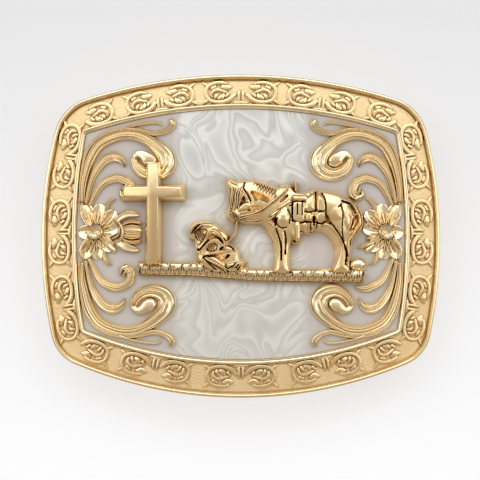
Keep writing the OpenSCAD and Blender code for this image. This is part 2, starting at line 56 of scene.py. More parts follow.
# Sizes from the frame, in millimetres
body_low, body_high = (Vector(corner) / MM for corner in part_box("buckle_body"))
enamel_high = Vector(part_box("pearl_enamel")[1]) / MM
ARCH_R = 350.0
# Just inside the frame's own outline
HALF_W, HALF_H = body_high.x - 0.002, body_high.y - 0.002
BACK_Z = body_low.z + ARCH_R - math.sqrt(ARCH_R**2 - HALF_W**2)
AXIS_Z = BACK_Z - ARCH_R
RIM_H = body_high.z - BACK_Z
BEAD_H = RIM_H - 0.4
BAND_H = RIM_H - 1.3
ENAMEL_H = enamel_high.z - BACK_Z
ENAMEL_T = 0.6
# The floor of the field, under the enamel
FLOOR_H = ENAMEL_H - 0.78

# Outlines of arcs with rounded corners, the upper and the lower half: half width, height, radius
# of the side arcs, radius of the long arc, corner radius
OUTER = ((HALF_W, HALF_H, 106.0, 137.0, 11.6), (HALF_W, HALF_H, 116.0, 110.0, 10.0))
FIELD = ((41.0, 30.7, 136.0, 130.0, 0.6), (41.0, 31.4, 136.0, 106.0, 0.6))
FIELD_MID_Y = 0.8


# Shapes

def polar(angle):
    return Vector((math.cos(angle), math.sin(angle)))


def arc(middle, radius, start, end, steps):
    """Points of an arc without its last one."""
    return [middle + radius * polar(start + (end - start) * i / steps) for i in range(steps)]


def half_outline(form, depth, side_steps=14, corner_steps=10, top_steps=22):
    """Points of half an outline, drawn in by depth, from its right end over the top to its left end."""
    half_w, half_h, side_r, top_r, corner_r = (size - depth for size in form)
    corner_r = max(corner_r, 0.3)
    side, top = Vector((half_w - side_r, 0)), Vector((0, half_h - top_r))
    near_top, near_side, apart = top_r - corner_r, side_r - corner_r, (side - top).length
    unit = (side - top) / apart
    share = (near_top**2 - near_side**2 + apart**2) / (2 * apart)
    corner = top + unit * share + Vector((unit.y, -unit.x)) * math.sqrt(near_top**2 - share**2)
    start = math.atan2(*(corner - side).yx)
    end = math.atan2(*(corner - top).yx)
    quarter = arc(side, side_r, 0, start, side_steps) + arc(corner, corner_r, start, end, corner_steps)
    quarter += arc(top, top_r, end, math.pi / 2, top_steps)
    return quarter + [Vector((0, half_h))] + [Vector((-point.x, point.y)) for point in reversed(quarter)]


def whole_outline(form, depth, mid_y=0.0):
    upper, lower = (half_outline(half, depth) for half in form)
    lower = [Vector((point.x, -point.y)) for point in reversed(lower[1:-1])]
    return [Vector((point.x, point.y + mid_y)) for point in upper + lower]


def sheet(bm, columns, rows, place, slot=0):
    """A grid whose point (column, row) goes where place says. Edges that meet are merged."""
    verts = bmesh.ops.create_grid(bm, x_segments=columns - 1, y_segments=rows - 1, size=0.5)["verts"]
    for face in {face for vert in verts for face in vert.link_faces}:
        face.material_index = slot
    for vert in verts:
        vert.co = place(round((vert.co.x + 0.5) * (columns - 1)), round((vert.co.y + 0.5) * (rows - 1)))
    bmesh.ops.remove_doubles(bm, verts=verts, dist=MERGE)


def on_curve(t, before, start, end, after):
    """The value at share t of the way from start to end, on a smooth curve through all four."""
    bend = 2 * before - 5 * start + 4 * end - after
    twist = 3 * start - before - 3 * end + after
    return 0.5 * (2 * start + (end - before) * t + bend * t * t + twist * t**3)


def smooth_rows(rows, steps):
    """The rows with steps between each two, on a smooth curve through them."""
    last = len(rows) - 1
    found = []
    for i in range(last):
        four = rows[max(i - 1, 0)], rows[i], rows[i + 1], rows[min(i + 2, last)]
        found += [[on_curve(k / steps, *values) for values in zip(*four)] for k in range(steps)]
    return found + [list(rows[last])]


def closed_curve(points, steps):
    """A smooth closed curve through points."""
    rows = smooth_rows((points[-1], *points, *points[:2]), steps)
    return [Vector(row) for row in rows[steps:steps * (len(points) + 1)]]


def arc_section(points):
    """A round back over a flat base: shares of the half width and of the height."""
    return [(-math.cos(math.pi * i / points), math.sin(math.pi * i / points)) for i in range(points + 1)]


def ridge_section(widths, valley=0.6, points=6, edge=3):
    """A back of round ridges of uneven widths, whose valleys reach down to a share of the height."""
    section, start = [(-1, 0)], -1
    for width in widths:
        wide = 2 * width / sum(widths)
        for i in range(points):
            share = (i + 0.5) / points
            s = start + wide * share
            wave = math.sin(math.pi * share)
            section.append((s, math.sqrt(1 - abs(s) ** edge) * (valley + (1 - valley) * wave)))
        start += wide
    return section + [(1, 0)]


# Sections of the strokes: shares of the half width and of the height
ROUND = arc_section(8)
FINE_ROUND = arc_section(5)
STRAP = [(-1, 0), (-0.97, 0.93), (-0.8, 1), (0, 1.015), (0.8, 1), (0.97, 0.93), (1, 0)]
BROAD = [(-1, 0), (-0.93, 0.6), (-0.72, 0.92), (-0.4, 1), (0.4, 1), (0.72, 0.92), (0.93, 0.6), (1, 0)]
DISH = [(-1, 0), (-0.98, 0.7), (-0.9, 0.95), (-0.8, 1), (-0.68, 0.93), (-0.5, 0.72), (0, 0.66),
        (0.5, 0.72), (0.68, 0.93), (0.8, 1), (0.9, 0.95), (0.98, 0.7), (1, 0)]
TWO_RIDGES = ridge_section((1, 1), 0.65)
CAP_ANGLES = [math.radians(angle) for angle in (25, 50, 70, 90)]
# How far the relief reaches down into what carries it
ROOT = 0.15


def level_ground(x, y):
    return 0.0


def stroke(bm, rows, section=ROUND, steps=4, ground=level_ground, slot=0):
    """A raised line with round ends, swept along rows of x, y, half width and height."""
    path = smooth_rows(rows, steps)
    stations = []
    for i, (x, y, half, height) in enumerate(path):
        ahead, behind = path[min(i + 1, len(path) - 1)], path[max(i - 1, 0)]
        along = Vector((ahead[0] - behind[0], ahead[1] - behind[1])).normalized()
        stations.append((Vector((x, y)), along, max(half, 0.01), height))

    def cap(station, way, angle):
        middle, along, half, height = station
        return (middle + along * way * half * math.sin(angle), along, half * math.cos(angle),
                height * math.cos(angle) ** 0.5)

    stations = [cap(stations[0], -1, angle) for angle in reversed(CAP_ANGLES)] + stations
    stations += [cap(stations[-1], 1, angle) for angle in CAP_ANGLES]
    loop = section + [section[0]]

    def place(i, j):
        middle, along, half, height = stations[i]
        across, up = loop[j]
        x = middle.x - along.y * across * half
        y = middle.y + along.x * across * half
        return x, y, ground(x, y) + (up * height if up > 0 else -ROOT)

    sheet(bm, len(stations), len(loop), place, slot)


def turned(bm, centre, profile, turns=28):
    """A round boss whose profile gives radii and heights from its middle out and back under it."""

    def place(i, j):
        radius, height = profile[j]
        point = Vector(centre) + radius * polar(2 * math.pi * (i % turns) / turns)
        return point.x, point.y, height

    sheet(bm, turns + 1, len(profile), place)


def scattered(centre, spread, count, turn=2.4):
    """Even but irregular places in a round patch, each a turn in radians on from the last."""
    return [Vector(centre) + polar(k * turn) * spread * math.sqrt((k + 0.5) / count) for k in range(count)]


def flat_plate(bm, form, depth, mid_y, height, rows=5, slot=0):
    """A plate inside an outline drawn in by depth, in strips that run up the face."""
    upper, lower = (half_outline(half, depth) for half in form)

    def place(i, j):
        x, y = Vector((lower[i].x, -lower[i].y)).lerp(upper[i], j / (rows - 1))
        return x, y + mid_y, height

    sheet(bm, len(upper), rows, place, slot)


def mirrored(bm, flip_x, flip_y=False, mid_y=0.0):
    """Mirrors the drawing left to right, or top to bottom about mid_y."""
    for vert in bm.verts:
        vert.co.x *= -1 if flip_x else 1
        if flip_y:
            vert.co.y = 2 * mid_y - vert.co.y


def new_object(bm, name, materials):
    mesh = bpy.data.meshes.new(name)
    bm.to_mesh(mesh)
    bm.free()
    for material in materials:
        mesh.materials.append(material)
    thing = bpy.data.objects.new(name, mesh)
    bpy.context.collection.objects.link(thing)
    return thing


def finish_piece(bm, name, node, materials, base, sharp=38):
    """Lays a flat drawing on the arch, base above the plate's back, and makes it a piece."""
    bmesh.ops.recalc_face_normals(bm, faces=bm.faces)
    for vert in bm.verts:
        x, y, height = vert.co
        z = AXIS_Z + math.sqrt((ARCH_R + base + height) ** 2 - x * x)
        vert.co = Vector((x, y, z)) * MM
    piece = new_object(bm, name, materials)
    piece.data.shade_smooth()
    piece.data.set_sharp_from_angle(angle=math.radians(sharp))
    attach(piece, "root")
    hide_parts(node)


# Materials

def new_material(name):
    material = bpy.data.materials.new(name)
    material.use_nodes = True
    nodes, links = material.node_tree.nodes, material.node_tree.links
    return material, nodes, links, nodes["Principled BSDF"]


def noise(nodes, links, where, scale, detail=3.0, roughness=0.5, distortion=0.0):
    """Noise over coordinates, scale in cells per metre."""
    node = nodes.new("ShaderNodeTexNoise")
    node.inputs["Scale"].default_value = scale
    node.inputs["Detail"].default_value = detail
    node.inputs["Roughness"].default_value = roughness
    node.inputs["Distortion"].default_value = distortion
    links.new(where, node.inputs["Vector"])
    return node.outputs


def parts(nodes, links, where):
    """X, Y and Z of coordinates."""
    node = nodes.new("ShaderNodeSeparateXYZ")
    links.new(where, node.inputs["Vector"])
    return node.outputs


def mapped(nodes, links, value, low, high, to_low=0, to_high=1):
    node = nodes.new("ShaderNodeMapRange")
    node.inputs["From Min"].default_value = low
    node.inputs["From Max"].default_value = high
    node.inputs["To Min"].default_value = to_low
    node.inputs["To Max"].default_value = to_high
    links.new(value, node.inputs["Value"])
    return node.outputs["Result"]


def mixed_colour(nodes, links, share, first, second):
    node = nodes.new("ShaderNodeMix")
    node.data_type = "RGBA"
    for socket, colour in ((node.inputs["A"], first), (node.inputs["B"], second)):
        if isinstance(colour, tuple):
            socket.default_value = (*colour, 1)
        else:
            links.new(colour, socket)
    links.new(share, node.inputs["Factor"])
    return node.outputs["Result"]


def toned(nodes, links, value, stops):
    """A colour for each value: stops of a place and its red, green and blue."""
    ramp = nodes.new("ShaderNodeValToRGB")
    elements = ramp.color_ramp.elements
    while len(elements) < len(stops):
        elements.new(0.5)
    for element, (place, tone) in zip(elements, stops):
        element.position = place
        element.color = (*tone, 1)
    links.new(value, ramp.inputs["Fac"])
    return ramp.outputs["Color"]


def unshaded_share(nodes, links, reach, samples, low, high):
    """The mask of painted shade: 0 in crevices narrower than about reach, and 1 in the open."""
    shade = nodes.new("ShaderNodeAmbientOcclusion")
    shade.samples = samples
    shade.inputs["Distance"].default_value = reach * MM
    return mapped(nodes, links, shade.outputs["AO"], low, high)


def bumped(nodes, links, shader, height, strength, depth):
    bump = nodes.new("ShaderNodeBump")
    bump.inputs["Strength"].default_value = strength
    bump.inputs["Distance"].default_value = depth * MM
    links.new(height, bump.inputs["Height"])
    links.new(bump.outputs["Normal"], shader.inputs["Normal"])


# Plating tones that alternate over the surface, and the painted shade tones of crevices
RICH_GOLD = ((1.0, 0.77, 0.44), (0.97, 0.7, 0.36))
PALE_GOLD = ((1.0, 0.85, 0.58), (1.0, 0.8, 0.5))
MATTE_GOLD = ((1.0, 0.79, 0.47), (0.95, 0.69, 0.36))
PAINTED_SHADE_BROWN = (0.21, 0.1, 0.03)
PAINTED_SHADE_TAN = (0.36, 0.2, 0.07)
# Cells per metre of the tones and of the uneven polish
TONE_CELLS, POLISH_CELLS = 140, 900


def gold_material(name, polish, plating, painted_shade, reach, grain_cells=0, grain_depth=0.0):
    """Plated gold with painted shade in crevices narrower than reach, polished between two roughnesses."""
    material, nodes, links, shader = new_material(name)
    shader.inputs["Metallic"].default_value = 1.0
    surface = nodes.new("ShaderNodeTexCoord").outputs["Object"]
    tone = noise(nodes, links, surface, TONE_CELLS, 2.0)
    plated = mixed_colour(nodes, links, mapped(nodes, links, tone["Fac"], 0.35, 0.7, 0, 0.6), *plating)
    unshaded = unshaded_share(nodes, links, reach, 6, 0.25, 0.8)
    # Painted shade: the gold turns to a dark tone in its crevices
    links.new(mixed_colour(nodes, links, unshaded, painted_shade, plated), shader.inputs["Base Color"])
    wear = noise(nodes, links, surface, POLISH_CELLS, 4.0)
    links.new(mapped(nodes, links, wear["Fac"], 0.3, 0.7, *polish), shader.inputs["Roughness"])
    if grain_cells:
        grain = noise(nodes, links, surface, grain_cells, 2.0, 0.6)
        bumped(nodes, links, shader, grain["Fac"], 1.0, grain_depth)
    return material


# Swirls: noise over coordinates that another noise has pushed about, by WARP in metres, and its
# tones in uneven folds, each with one soft and one sharp edge
WARP = (0.035, 0.05, 0.03)
WARP_CELLS, SWIRL_CELLS = 50, 54
SWIRL_TONES = ((0.3, 0.72), (0.4, 1.0), (0.425, 0.73), (0.5, 0.97), (0.525, 0.68), (0.59, 1.0), (0.61, 0.72),
               (0.69, 1.0))
PEARL_TINT = (0.985, 1.0, 0.985)
# The plain enamel beside the swirls, where they end, and the tone close to the gold: painted shade with a
# painted warm reflection of the gold
PLAIN_ENAMEL = (0.7, 0.66, 0.66)
PANEL_EDGE = (14.8, 17.2)
SHADED_ENAMEL = (0.34, 0.28, 0.21)
SHADE_REACH = 3.5
# Painted shade: a darker, warmer tone that the enamel partly turns to towards its lower edge, from one
# height to the other
LOWER_EDGE_SHADE = (0.7, 0.64, 0.57)
LOWER_SHADE_SPAN = (22.0, -32.0)
LOWER_SHADE_SHARE = 0.4


def pearl_material():
    """White enamel with soft swirled folds in its middle, painted shade near the gold and towards its lower
    edge, and a clear coat.
    """
    material, nodes, links, shader = new_material("pearl_swirl_enamel")
    surface = nodes.new("ShaderNodeTexCoord").outputs["Object"]
    warp = nodes.new("ShaderNodeVectorMath")
    warp.operation = "MULTIPLY_ADD"
    warp.inputs[1].default_value = WARP
    links.new(noise(nodes, links, surface, WARP_CELLS, 1.5, 0.5, 0.6)["Color"], warp.inputs[0])
    links.new(surface, warp.inputs[2])
    swirl = noise(nodes, links, warp.outputs["Vector"], SWIRL_CELLS, 1.2, 0.45, 1.0)["Fac"]
    folds = toned(nodes, links, swirl,
                  [(place, [tone * share for share in PEARL_TINT]) for place, tone in SWIRL_TONES])
    place = parts(nodes, links, surface)
    side = nodes.new("ShaderNodeMath")
    side.operation = "ABSOLUTE"
    links.new(place["X"], side.inputs[0])
    beside = mapped(nodes, links, side.outputs["Value"], *(edge * MM for edge in PANEL_EDGE))
    plain = mixed_colour(nodes, links, beside, folds, PLAIN_ENAMEL)
    unshaded = unshaded_share(nodes, links, SHADE_REACH, 8, 0.35, 0.95)
    # Painted shade and a painted warm reflection where the enamel lies close to the gold
    shaded = mixed_colour(nodes, links, unshaded, SHADED_ENAMEL, plain)
    # Painted shade, growing towards the enamel's lower edge
    lower_shade = mapped(nodes, links, place["Y"], *(edge * MM for edge in LOWER_SHADE_SPAN), 0, LOWER_SHADE_SHARE)
    links.new(mixed_colour(nodes, links, lower_shade, shaded, LOWER_EDGE_SHADE), shader.inputs["Base Color"])
    bumped(nodes, links, shader, swirl, 0.3, 0.1)
    shader.inputs["Roughness"].default_value = 0.3
    shader.inputs["Coat Weight"].default_value = 0.6
    shader.inputs["Coat Roughness"].default_value = 0.06
    return material


# Painted light: strength of the pale floor's glow, from below the buckle to above it, and where it changes
PAINTED_FLOOR_LIGHT = (0.6, 0.4)
PAINTED_LIGHT_TURN = (-0.06, 0.06)


def floor_material():
    material, nodes, links, shader = new_material("pale_floor")
    shader.inputs["Base Color"].default_value = (0.5, 0.5, 0.505, 1)
    shader.inputs["Roughness"].default_value = 0.9
    shader.inputs["Emission Color"].default_value = (0.98, 1.0, 1.05, 1)
    up_face = parts(nodes, links, nodes.new("ShaderNodeTexCoord").outputs["Object"])["Y"]
    painted_light = mapped(nodes, links, up_face, *PAINTED_LIGHT_TURN, *PAINTED_FLOOR_LIGHT)
    # Painted light: the floor glows, brighter below the buckle, which also lightens the shadows on it
    links.new(painted_light, shader.inputs["Emission Strength"])
    return material


# Finishes: roughnesses, plating, tone and reach of the painted shade in crevices, cells per metre and depth
# of the grain
polished = gold_material("polished_gold", (0.16, 0.26), RICH_GOLD, PAINTED_SHADE_BROWN, 0.7)
smooth = gold_material("smooth_gold", (0.16, 0.24), RICH_GOLD, PAINTED_SHADE_TAN, 3.0)
edging = gold_material("edging_gold", (0.12, 0.2), PALE_GOLD, PAINTED_SHADE_TAN, 0.3)
cast = gold_material("cast_gold", (0.15, 0.23), PALE_GOLD, PAINTED_SHADE_TAN, 0.35)
frosted = gold_material("frosted_gold", (0.36, 0.5), MATTE_GOLD, PAINTED_SHADE_TAN, 1.2, 2600, 0.12)
ornament = gold_material("ornament_gold", (0.18, 0.3), RICH_GOLD, PAINTED_SHADE_TAN, 0.5, 5000, 0.02)


# Frame and enamel

# Sections of the polished rim and of the bead: inset from the outline, height
RIM_SECTION = (
    (0.7, 0), (0.22, 0.1), (0, 0.5), (0, 1.8), (0, 3.1), (0.05, 3.45), (0.17, 3.72), (0.34, 3.86),
    (0.6, RIM_H), (0.86, 3.87), (1.0, 3.74), (1.1, 3.5), (1.17, 3.0), (1.22, 2.5), (1.3, 2.3),
    (1.42, 2.32), (1.55, BAND_H))
BEAD_SECTION = (
    (-1.6, BAND_H), (-1.5, 2.5), (-1.4, 2.5), (-1.3, 2.9), (-1.22, 3.25), (-1.08, 3.43),
    (-0.85, BEAD_H), (-0.6, 3.46), (-0.4, 3.36), (-0.22, 3.16), (-0.1, 2.9), (-0.02, 2.62),
    (0.04, 2.5), (0.12, 2.48), (0.12, FLOOR_H))
BAND_ROWS = 4


def frame_ring(bm):
    """The rim, the band and the bead, swept round the outline."""
    loops = [[(*point, height) for point in whole_outline(OUTER, depth)] for depth, height in RIM_SECTION]
    inner = [[(*point, height) for point in whole_outline(FIELD, depth, FIELD_MID_Y)]
             for depth, height in BEAD_SECTION]
    first, last = loops[-1], inner[0]
    band = [[Vector(a).lerp(Vector(b), i / BAND_ROWS) for a, b in zip(first, last)]
            for i in range(1, BAND_ROWS)]
    count = len(first)

    def swept(loops, slot):
        sheet(bm, count + 1, len(loops), lambda i, j: loops[j][i % count], slot)

    swept(loops, 0)
    swept([first] + band + [last], 1)
    swept(inner, 0)


# Medallion, drawn with its opening along +x and the buckle's edge along +y: x, y, half width, height
MEDALLION_RING = (
    (2.2, 2.15, 0.3, 0.45), (1.2, 2.4, 0.4, 0.52), (0, 2.5, 0.44, 0.55), (-1.3, 2.25, 0.44, 0.55),
    (-2.45, 1.6, 0.44, 0.55), (-3.0, 0.6, 0.42, 0.55), (-3.0, -0.6, 0.42, 0.55),
    (-2.45, -1.55, 0.44, 0.55), (-1.3, -2.2, 0.44, 0.55), (0.2, -2.4, 0.46, 0.55),
    (1.7, -2.25, 0.52, 0.55), (3.0, -1.65, 0.58, 0.55), (4.0, -0.7, 0.42, 0.5))
THORNS = (((-2.5, 1.75, 0.42, 0.5), (-3.3, 2.3, 0.3, 0.5), (-4.0, 2.85, 0.1, 0.4)),
          ((-2.5, -1.65, 0.42, 0.5), (-3.3, -2.2, 0.3, 0.5), (-4.0, -2.7, 0.1, 0.4)))
MEDALLION_LEAF = (
    ((3.0, 1.35, 0.5, 0.42), (2.1, 1.2, 0.72, 0.55), (1.2, 1.45, 0.5, 0.48)),
    ((1.9, 0.05, 0.3, 0.4), (1.0, 0.35, 0.4, 0.48), (0, 0.7, 0.42, 0.52), (-1.0, 0.5, 0.42, 0.52),
     (-1.65, -0.2, 0.4, 0.48), (-1.65, -0.95, 0.3, 0.42)),
    ((-0.7, 1.55, 0.34, 0.42), (-1.5, 1.15, 0.42, 0.45)),
    ((1.3, -0.5, 0.34, 0.42), (0.9, -1.1, 0.56, 0.55), (0.15, -1.35, 0.46, 0.48)),
    ((-0.3, -0.4, 0.28, 0.4), (-0.75, -0.95, 0.42, 0.48), (-0.85, -1.4, 0.3, 0.42)),
    ((2.45, -0.35, 0.34, 0.42), (2.0, -0.95, 0.38, 0.45)),
)
# How much fuller the ornaments' strokes are than their rows say
FULLNESS = 1.2
# Bracket, drawn with its foot along -y
BRACKET = (
    ((-0.5, -1.7, 0.3, 0.5), (-0.5, 0.2, 0.3, 0.55), (-0.42, 1.0, 0.14, 0.4)),
    ((0.5, -1.7, 0.3, 0.5), (0.5, 0.2, 0.3, 0.55), (0.42, 1.0, 0.14, 0.4)),
    ((-1.5, -2.25, 0.24, 0.4), (0, -2.05, 0.4, 0.5), (1.5, -2.25, 0.24, 0.4)),
)


def motif(strokes):
    """A mesh of one ornament that is repeated round the border."""
    bm = bmesh.new()
    for rows in strokes:
        stroke(bm, [(x, y, half * FULLNESS, height) for x, y, half, height in rows], BROAD, 3, slot=2)
    for vert in bm.verts:
        vert.co.z = max(vert.co.z, -ROOT)
    mesh = bpy.data.meshes.new("motif")
    bm.to_mesh(mesh)
    bm.free()
    return mesh


def set_motif(bm, mesh, spot, out, flip):
    """Puts an ornament at spot, with its +y along out, mirrored where flip is -1."""
    right = Vector((out.y, -out.x)) * flip
    placed = mesh.copy()
    placed.transform(Matrix(((right.x, out.x, 0, spot.x),
                             (right.y, out.y, 0, spot.y),
                             (0, 0, 1, BAND_H),
                             (0, 0, 0, 1))))
    bm.from_mesh(placed)
    bpy.data.meshes.remove(placed)


# Long sides of the band, upwards: way up, its middle and radius, places of medallions and brackets
LONG_BANDS = ((1, 35.6, 122.0, (5.6, 15.0, 25.3, 35.1), (0, 20.2)),
              (-1, 34.8, 112.0, (5.2, 15.9, 26.4, 36.0), (0, 21.2)))
# Short sides: middle and radius of the band, middle and pitch of the medallions
BAND_SIDE, BAND_SIDE_R = 45.4, 112.0
SIDE_MID_Y, SIDE_PITCH = 0.95, 9.5
# How far inside the band's middle the brackets sit
BRACKET_IN = 0.5


def on_long_band(side, up, middle, radius, x):
    """The place at x on a long side of the band, and the way out from it."""
    out = Vector((side * x, up * math.sqrt(radius**2 - x * x)))
    return Vector((0, up * (middle - radius))) + out, out.normalized()


def on_side_band(side, y):
    """The place at y on a short side of the band, and the way out from it."""
    out = Vector((side * math.sqrt(BAND_SIDE_R**2 - y * y), y))
    return Vector((side * (BAND_SIDE - BAND_SIDE_R), 0)) + out, out.normalized()


def border_ornaments(bm):
    """Medallions that open to and fro round the band, with brackets between pairs of them."""
    medallion = motif((MEDALLION_RING,) + THORNS + MEDALLION_LEAF)
    bracket = motif(BRACKET)

    def set_bracket(spot, out):
        set_motif(bm, bracket, spot - out * BRACKET_IN, out, 1)

    for side in (1, -1):
        for up, middle, radius, places, brackets in LONG_BANDS:
            for i, x in enumerate(places):
                opening = -side if i % 2 == 0 else side
                set_motif(bm, medallion, *on_long_band(side, up, middle, radius, x), opening * up)
            for x in brackets:
                if side > 0 or x:
                    set_bracket(*on_long_band(side, up, middle, radius, x))
        for k in range(6):
            opening = -side if k % 2 == 0 else side
            set_motif(bm, medallion, *on_side_band(side, SIDE_MID_Y + SIDE_PITCH * (k - 2.5)), opening)
        for k in (-2, 0, 2):
            set_bracket(*on_side_band(side, SIDE_MID_Y + SIDE_PITCH * k))


def make_buckle_body():
    bm = bmesh.new()
    frame_ring(bm)
    flat_plate(bm, OUTER, RIM_SECTION[0][0], 0.0, 0.0, slot=1)
    flat_plate(bm, FIELD, BEAD_SECTION[-1][0], FIELD_MID_Y, FLOOR_H)
    bmesh.ops.remove_doubles(bm, verts=bm.verts, dist=MERGE)
    border_ornaments(bm)
    finish_piece(bm, "cast_buckle_body", "buckle_body", (edging, frosted, ornament), 0.0)


# Gap between the enamel and the bead, and rows of points up the enamel
ENAMEL_GAP, ENAMEL_ROWS = 0.1, 33


def make_pearl_enamel():
    bm = bmesh.new()
    flat_plate(bm, FIELD, ENAMEL_GAP, FIELD_MID_Y, ENAMEL_H, ENAMEL_ROWS)
    bmesh.ops.recalc_face_normals(bm, faces=bm.faces)
    bmesh.ops.solidify(bm, geom=bm.faces[:], thickness=ENAMEL_T)
    finish_piece(bm, "pearl_enamel_field", "pearl_enamel", (pearl_material(),), 0.0)


# Scrolls

SCROLL_H = 1.3
VOLUTE_H = SCROLL_H * 1.15
# Top right scroll. Rows of the leaf ribbons: x, y, width
BIG_VOLUTE = (
    (39.4, 8.6, 1.2), (39.3, 12.4, 1.5), (38.6, 16.2, 2.0), (37.5, 19.6, 2.5), (35.6, 22.6, 2.7),
    (33.0, 24.2, 2.7), (29.9, 25.1, 2.6), (26.7, 24.9, 2.8), (23.8, 23.6, 3.2), (21.1, 21.6, 3.9),
    (19.5, 19.5, 4.8), (19.4, 17.3, 4.8), (20.7, 15.8, 4.2), (22.9, 15.2, 3.6), (25.0, 15.7, 3.2),
    (26.6, 17.1, 2.7), (27.2, 18.6, 2.1), (27.0, 19.6, 1.4))
RIM_CURL = (
    (40.15, 8.5, 0.7), (40.1, 12.0, 0.8), (39.7, 16.2, 0.9), (39.0, 19.6, 1.0), (37.8, 22.2, 1.0),
    (36.0, 24.2, 1.1), (33.4, 25.6, 1.2), (30.6, 26.3, 1.3), (27.6, 26.4, 1.4), (24.8, 25.9, 1.5),
    (22.4, 25.4, 1.5), (20.3, 25.8, 1.6), (18.7, 26.7, 1.8), (18.0, 27.7, 1.9), (18.15, 28.3, 1.7))
PLUME = (
    (38.6, 8.2, 1.2), (38.0, 11.4, 1.3), (37.0, 14.9, 1.8), (35.9, 17.0, 2.3), (34.3, 18.9, 2.6),
    (32.6, 19.7, 2.8), (31.0, 19.5, 2.5), (29.9, 18.6, 1.7), (29.4, 17.3, 0.5))
SMALL_VOLUTE = (
    (37.8, 7.6, 1.2), (36.8, 9.5, 1.4), (35.6, 11.9, 1.8), (34.2, 13.4, 2.1), (32.6, 14.1, 2.3),
    (31.2, 14.4, 2.4), (29.8, 14.0, 2.4), (28.5, 13.2, 2.5), (27.8, 11.8, 2.5), (27.9, 10.4, 2.4),
    (28.9, 9.5, 2.1))
# Raised rows beside the ribbons: x, y, half width, height
RIM_STRAND = ((30.4, 26.3, 0.5, 0.9), (28.4, 27.1, 0.4, 1.0), (26.0, 27.7, 0.4, 1.0), (23.5, 28.1, 0.4, 0.9),
              (21.4, 28.1, 0.35, 0.8), (20.8, 27.6, 0.3, 0.6))
PAD = ((27.1, 19.5, 0.7, 1.2), (26.3, 20.1, 0.9, 1.3), (25.1, 19.9, 1.3, 1.4), (24.0, 19.1, 1.6, 1.45),
       (23.2, 18.5, 1.5, 1.35))
KNOB = (((28.9, 9.3, 0.75, 1.2), (30.2, 9.9, 0.7, 1.3), (30.4, 11.0, 0.45, 1.0)),
        ((28.2, 10.6, 0.6, 1.2), (29.3, 10.8, 0.5, 1.3), (29.6, 11.5, 0.35, 1.0)))
# Behind the grass the small volute runs on to it, and ends in a dome
TO_GRASS = SMALL_VOLUTE[:5] + ((31.2, 14.7, 2.1), (29.9, 14.7, 1.6), (28.6, 14.4, 1.0))
DOME = ((28.9, 8.9, 1.9, 1.5), (29.3, 8.85, 2.0, 1.6))
# A ribbon has its full height from this width on, and this share of it at a point
FULL_WIDTH, TIP_SHARE = 2.4, 0.45
# The left scrolls reach further in from the field's end than the right ones
LEFT_REACH = 1.05
SCROLL_END_X = 40.0


def reached(rows, reach):
    return [(SCROLL_END_X - (SCROLL_END_X - x) * reach, *rest) for x, *rest in rows]


def ribbon(bm, rows, section, height=SCROLL_H):
    """A leaf ribbon, lower where it is narrow."""
    full = [(x, y, width / 2, height * (TIP_SHARE + (1 - TIP_SHARE) * min(1, width / FULL_WIDTH)))
            for x, y, width in rows]
    stroke(bm, full, section, 5)


def scroll_drawing(bm, behind_grass, reach):
    ribbon(bm, reached(BIG_VOLUTE, reach), ridge_section((1.5, 1, 1.2)), VOLUTE_H)
    ribbon(bm, reached(RIM_CURL, reach), ridge_section((1, 1.3)))
    ribbon(bm, reached(PLUME, reach), ridge_section((1.3, 1, 0.8)))
    ribbon(bm, reached(TO_GRASS if behind_grass else SMALL_VOLUTE, reach), ridge_section((1.2, 1, 0.9)))
    stroke(bm, reached(RIM_STRAND, reach))
    stroke(bm, reached(PAD, reach), BROAD)
    for rows in (DOME,) if behind_grass else KNOB:
        stroke(bm, reached(rows, reach))


def make_scroll(node, side, up):
    bm = bmesh.new()
    scroll_drawing(bm, side > 0 > up, LEFT_REACH if side < 0 else 1)
    mirrored(bm, side < 0, up < 0, FIELD_MID_Y)
    finish_piece(bm, "leaf_" + node, node, (cast,), ENAMEL_H)


# Flowers

FLOWER_AT = (-36.2, 0.9)
# Radii and heights of the flower's eye, from its middle out
EYE = ((0, 1.45), (1.25, 1.45), (1.4, 1.55), (1.55, 1.8), (1.72, 1.88), (1.9, 1.75), (2.0, 1.3),
       (2.0, -ROOT), (0, -ROOT))
EYE_R = 1.9
# Petals of the left flower: tip from the flower's middle, half width, height
PETALS = ((-2.7, 6.5, 1.9, 1.2), (1.3, 6.7, 1.95, 1.05), (4.9, 4.9, 1.8, 1.2), (5.5, 0.9, 1.8, 1.05),
          (3.9, -4.4, 1.8, 1.2), (0.8, -6.5, 1.95, 1.05), (-3.0, -6.3, 1.9, 1.2), (-4.0, -0.1, 2.0, 1.05))
# The dished form of a petal. Its root: distance from the flower's middle, shares of its half width
# and height. From there out: shares of its reach, half width and height
PETAL_ROOT = (1.0, 0.55, 0.8)
PETAL_FORM = ((0.5, 0.85, 0.7), (0.78, 1.1, 0.7), (1.0, 1.0, 0.7))
# Ridges fan out over each petal: share of its half width at their outer ends
PETAL_RIDGES = (-0.66, 0, 0.66)
# Seeds in the eye: how many, reach of their patch, radius, height, height of their middles
SEEDS, SEED_SPREAD, SEED_R, SEED_RISE, SEED_H = 24, 1.2, 0.17, 0.24, 1.45
GOLDEN_ANGLE = math.pi * (3 - math.sqrt(5))


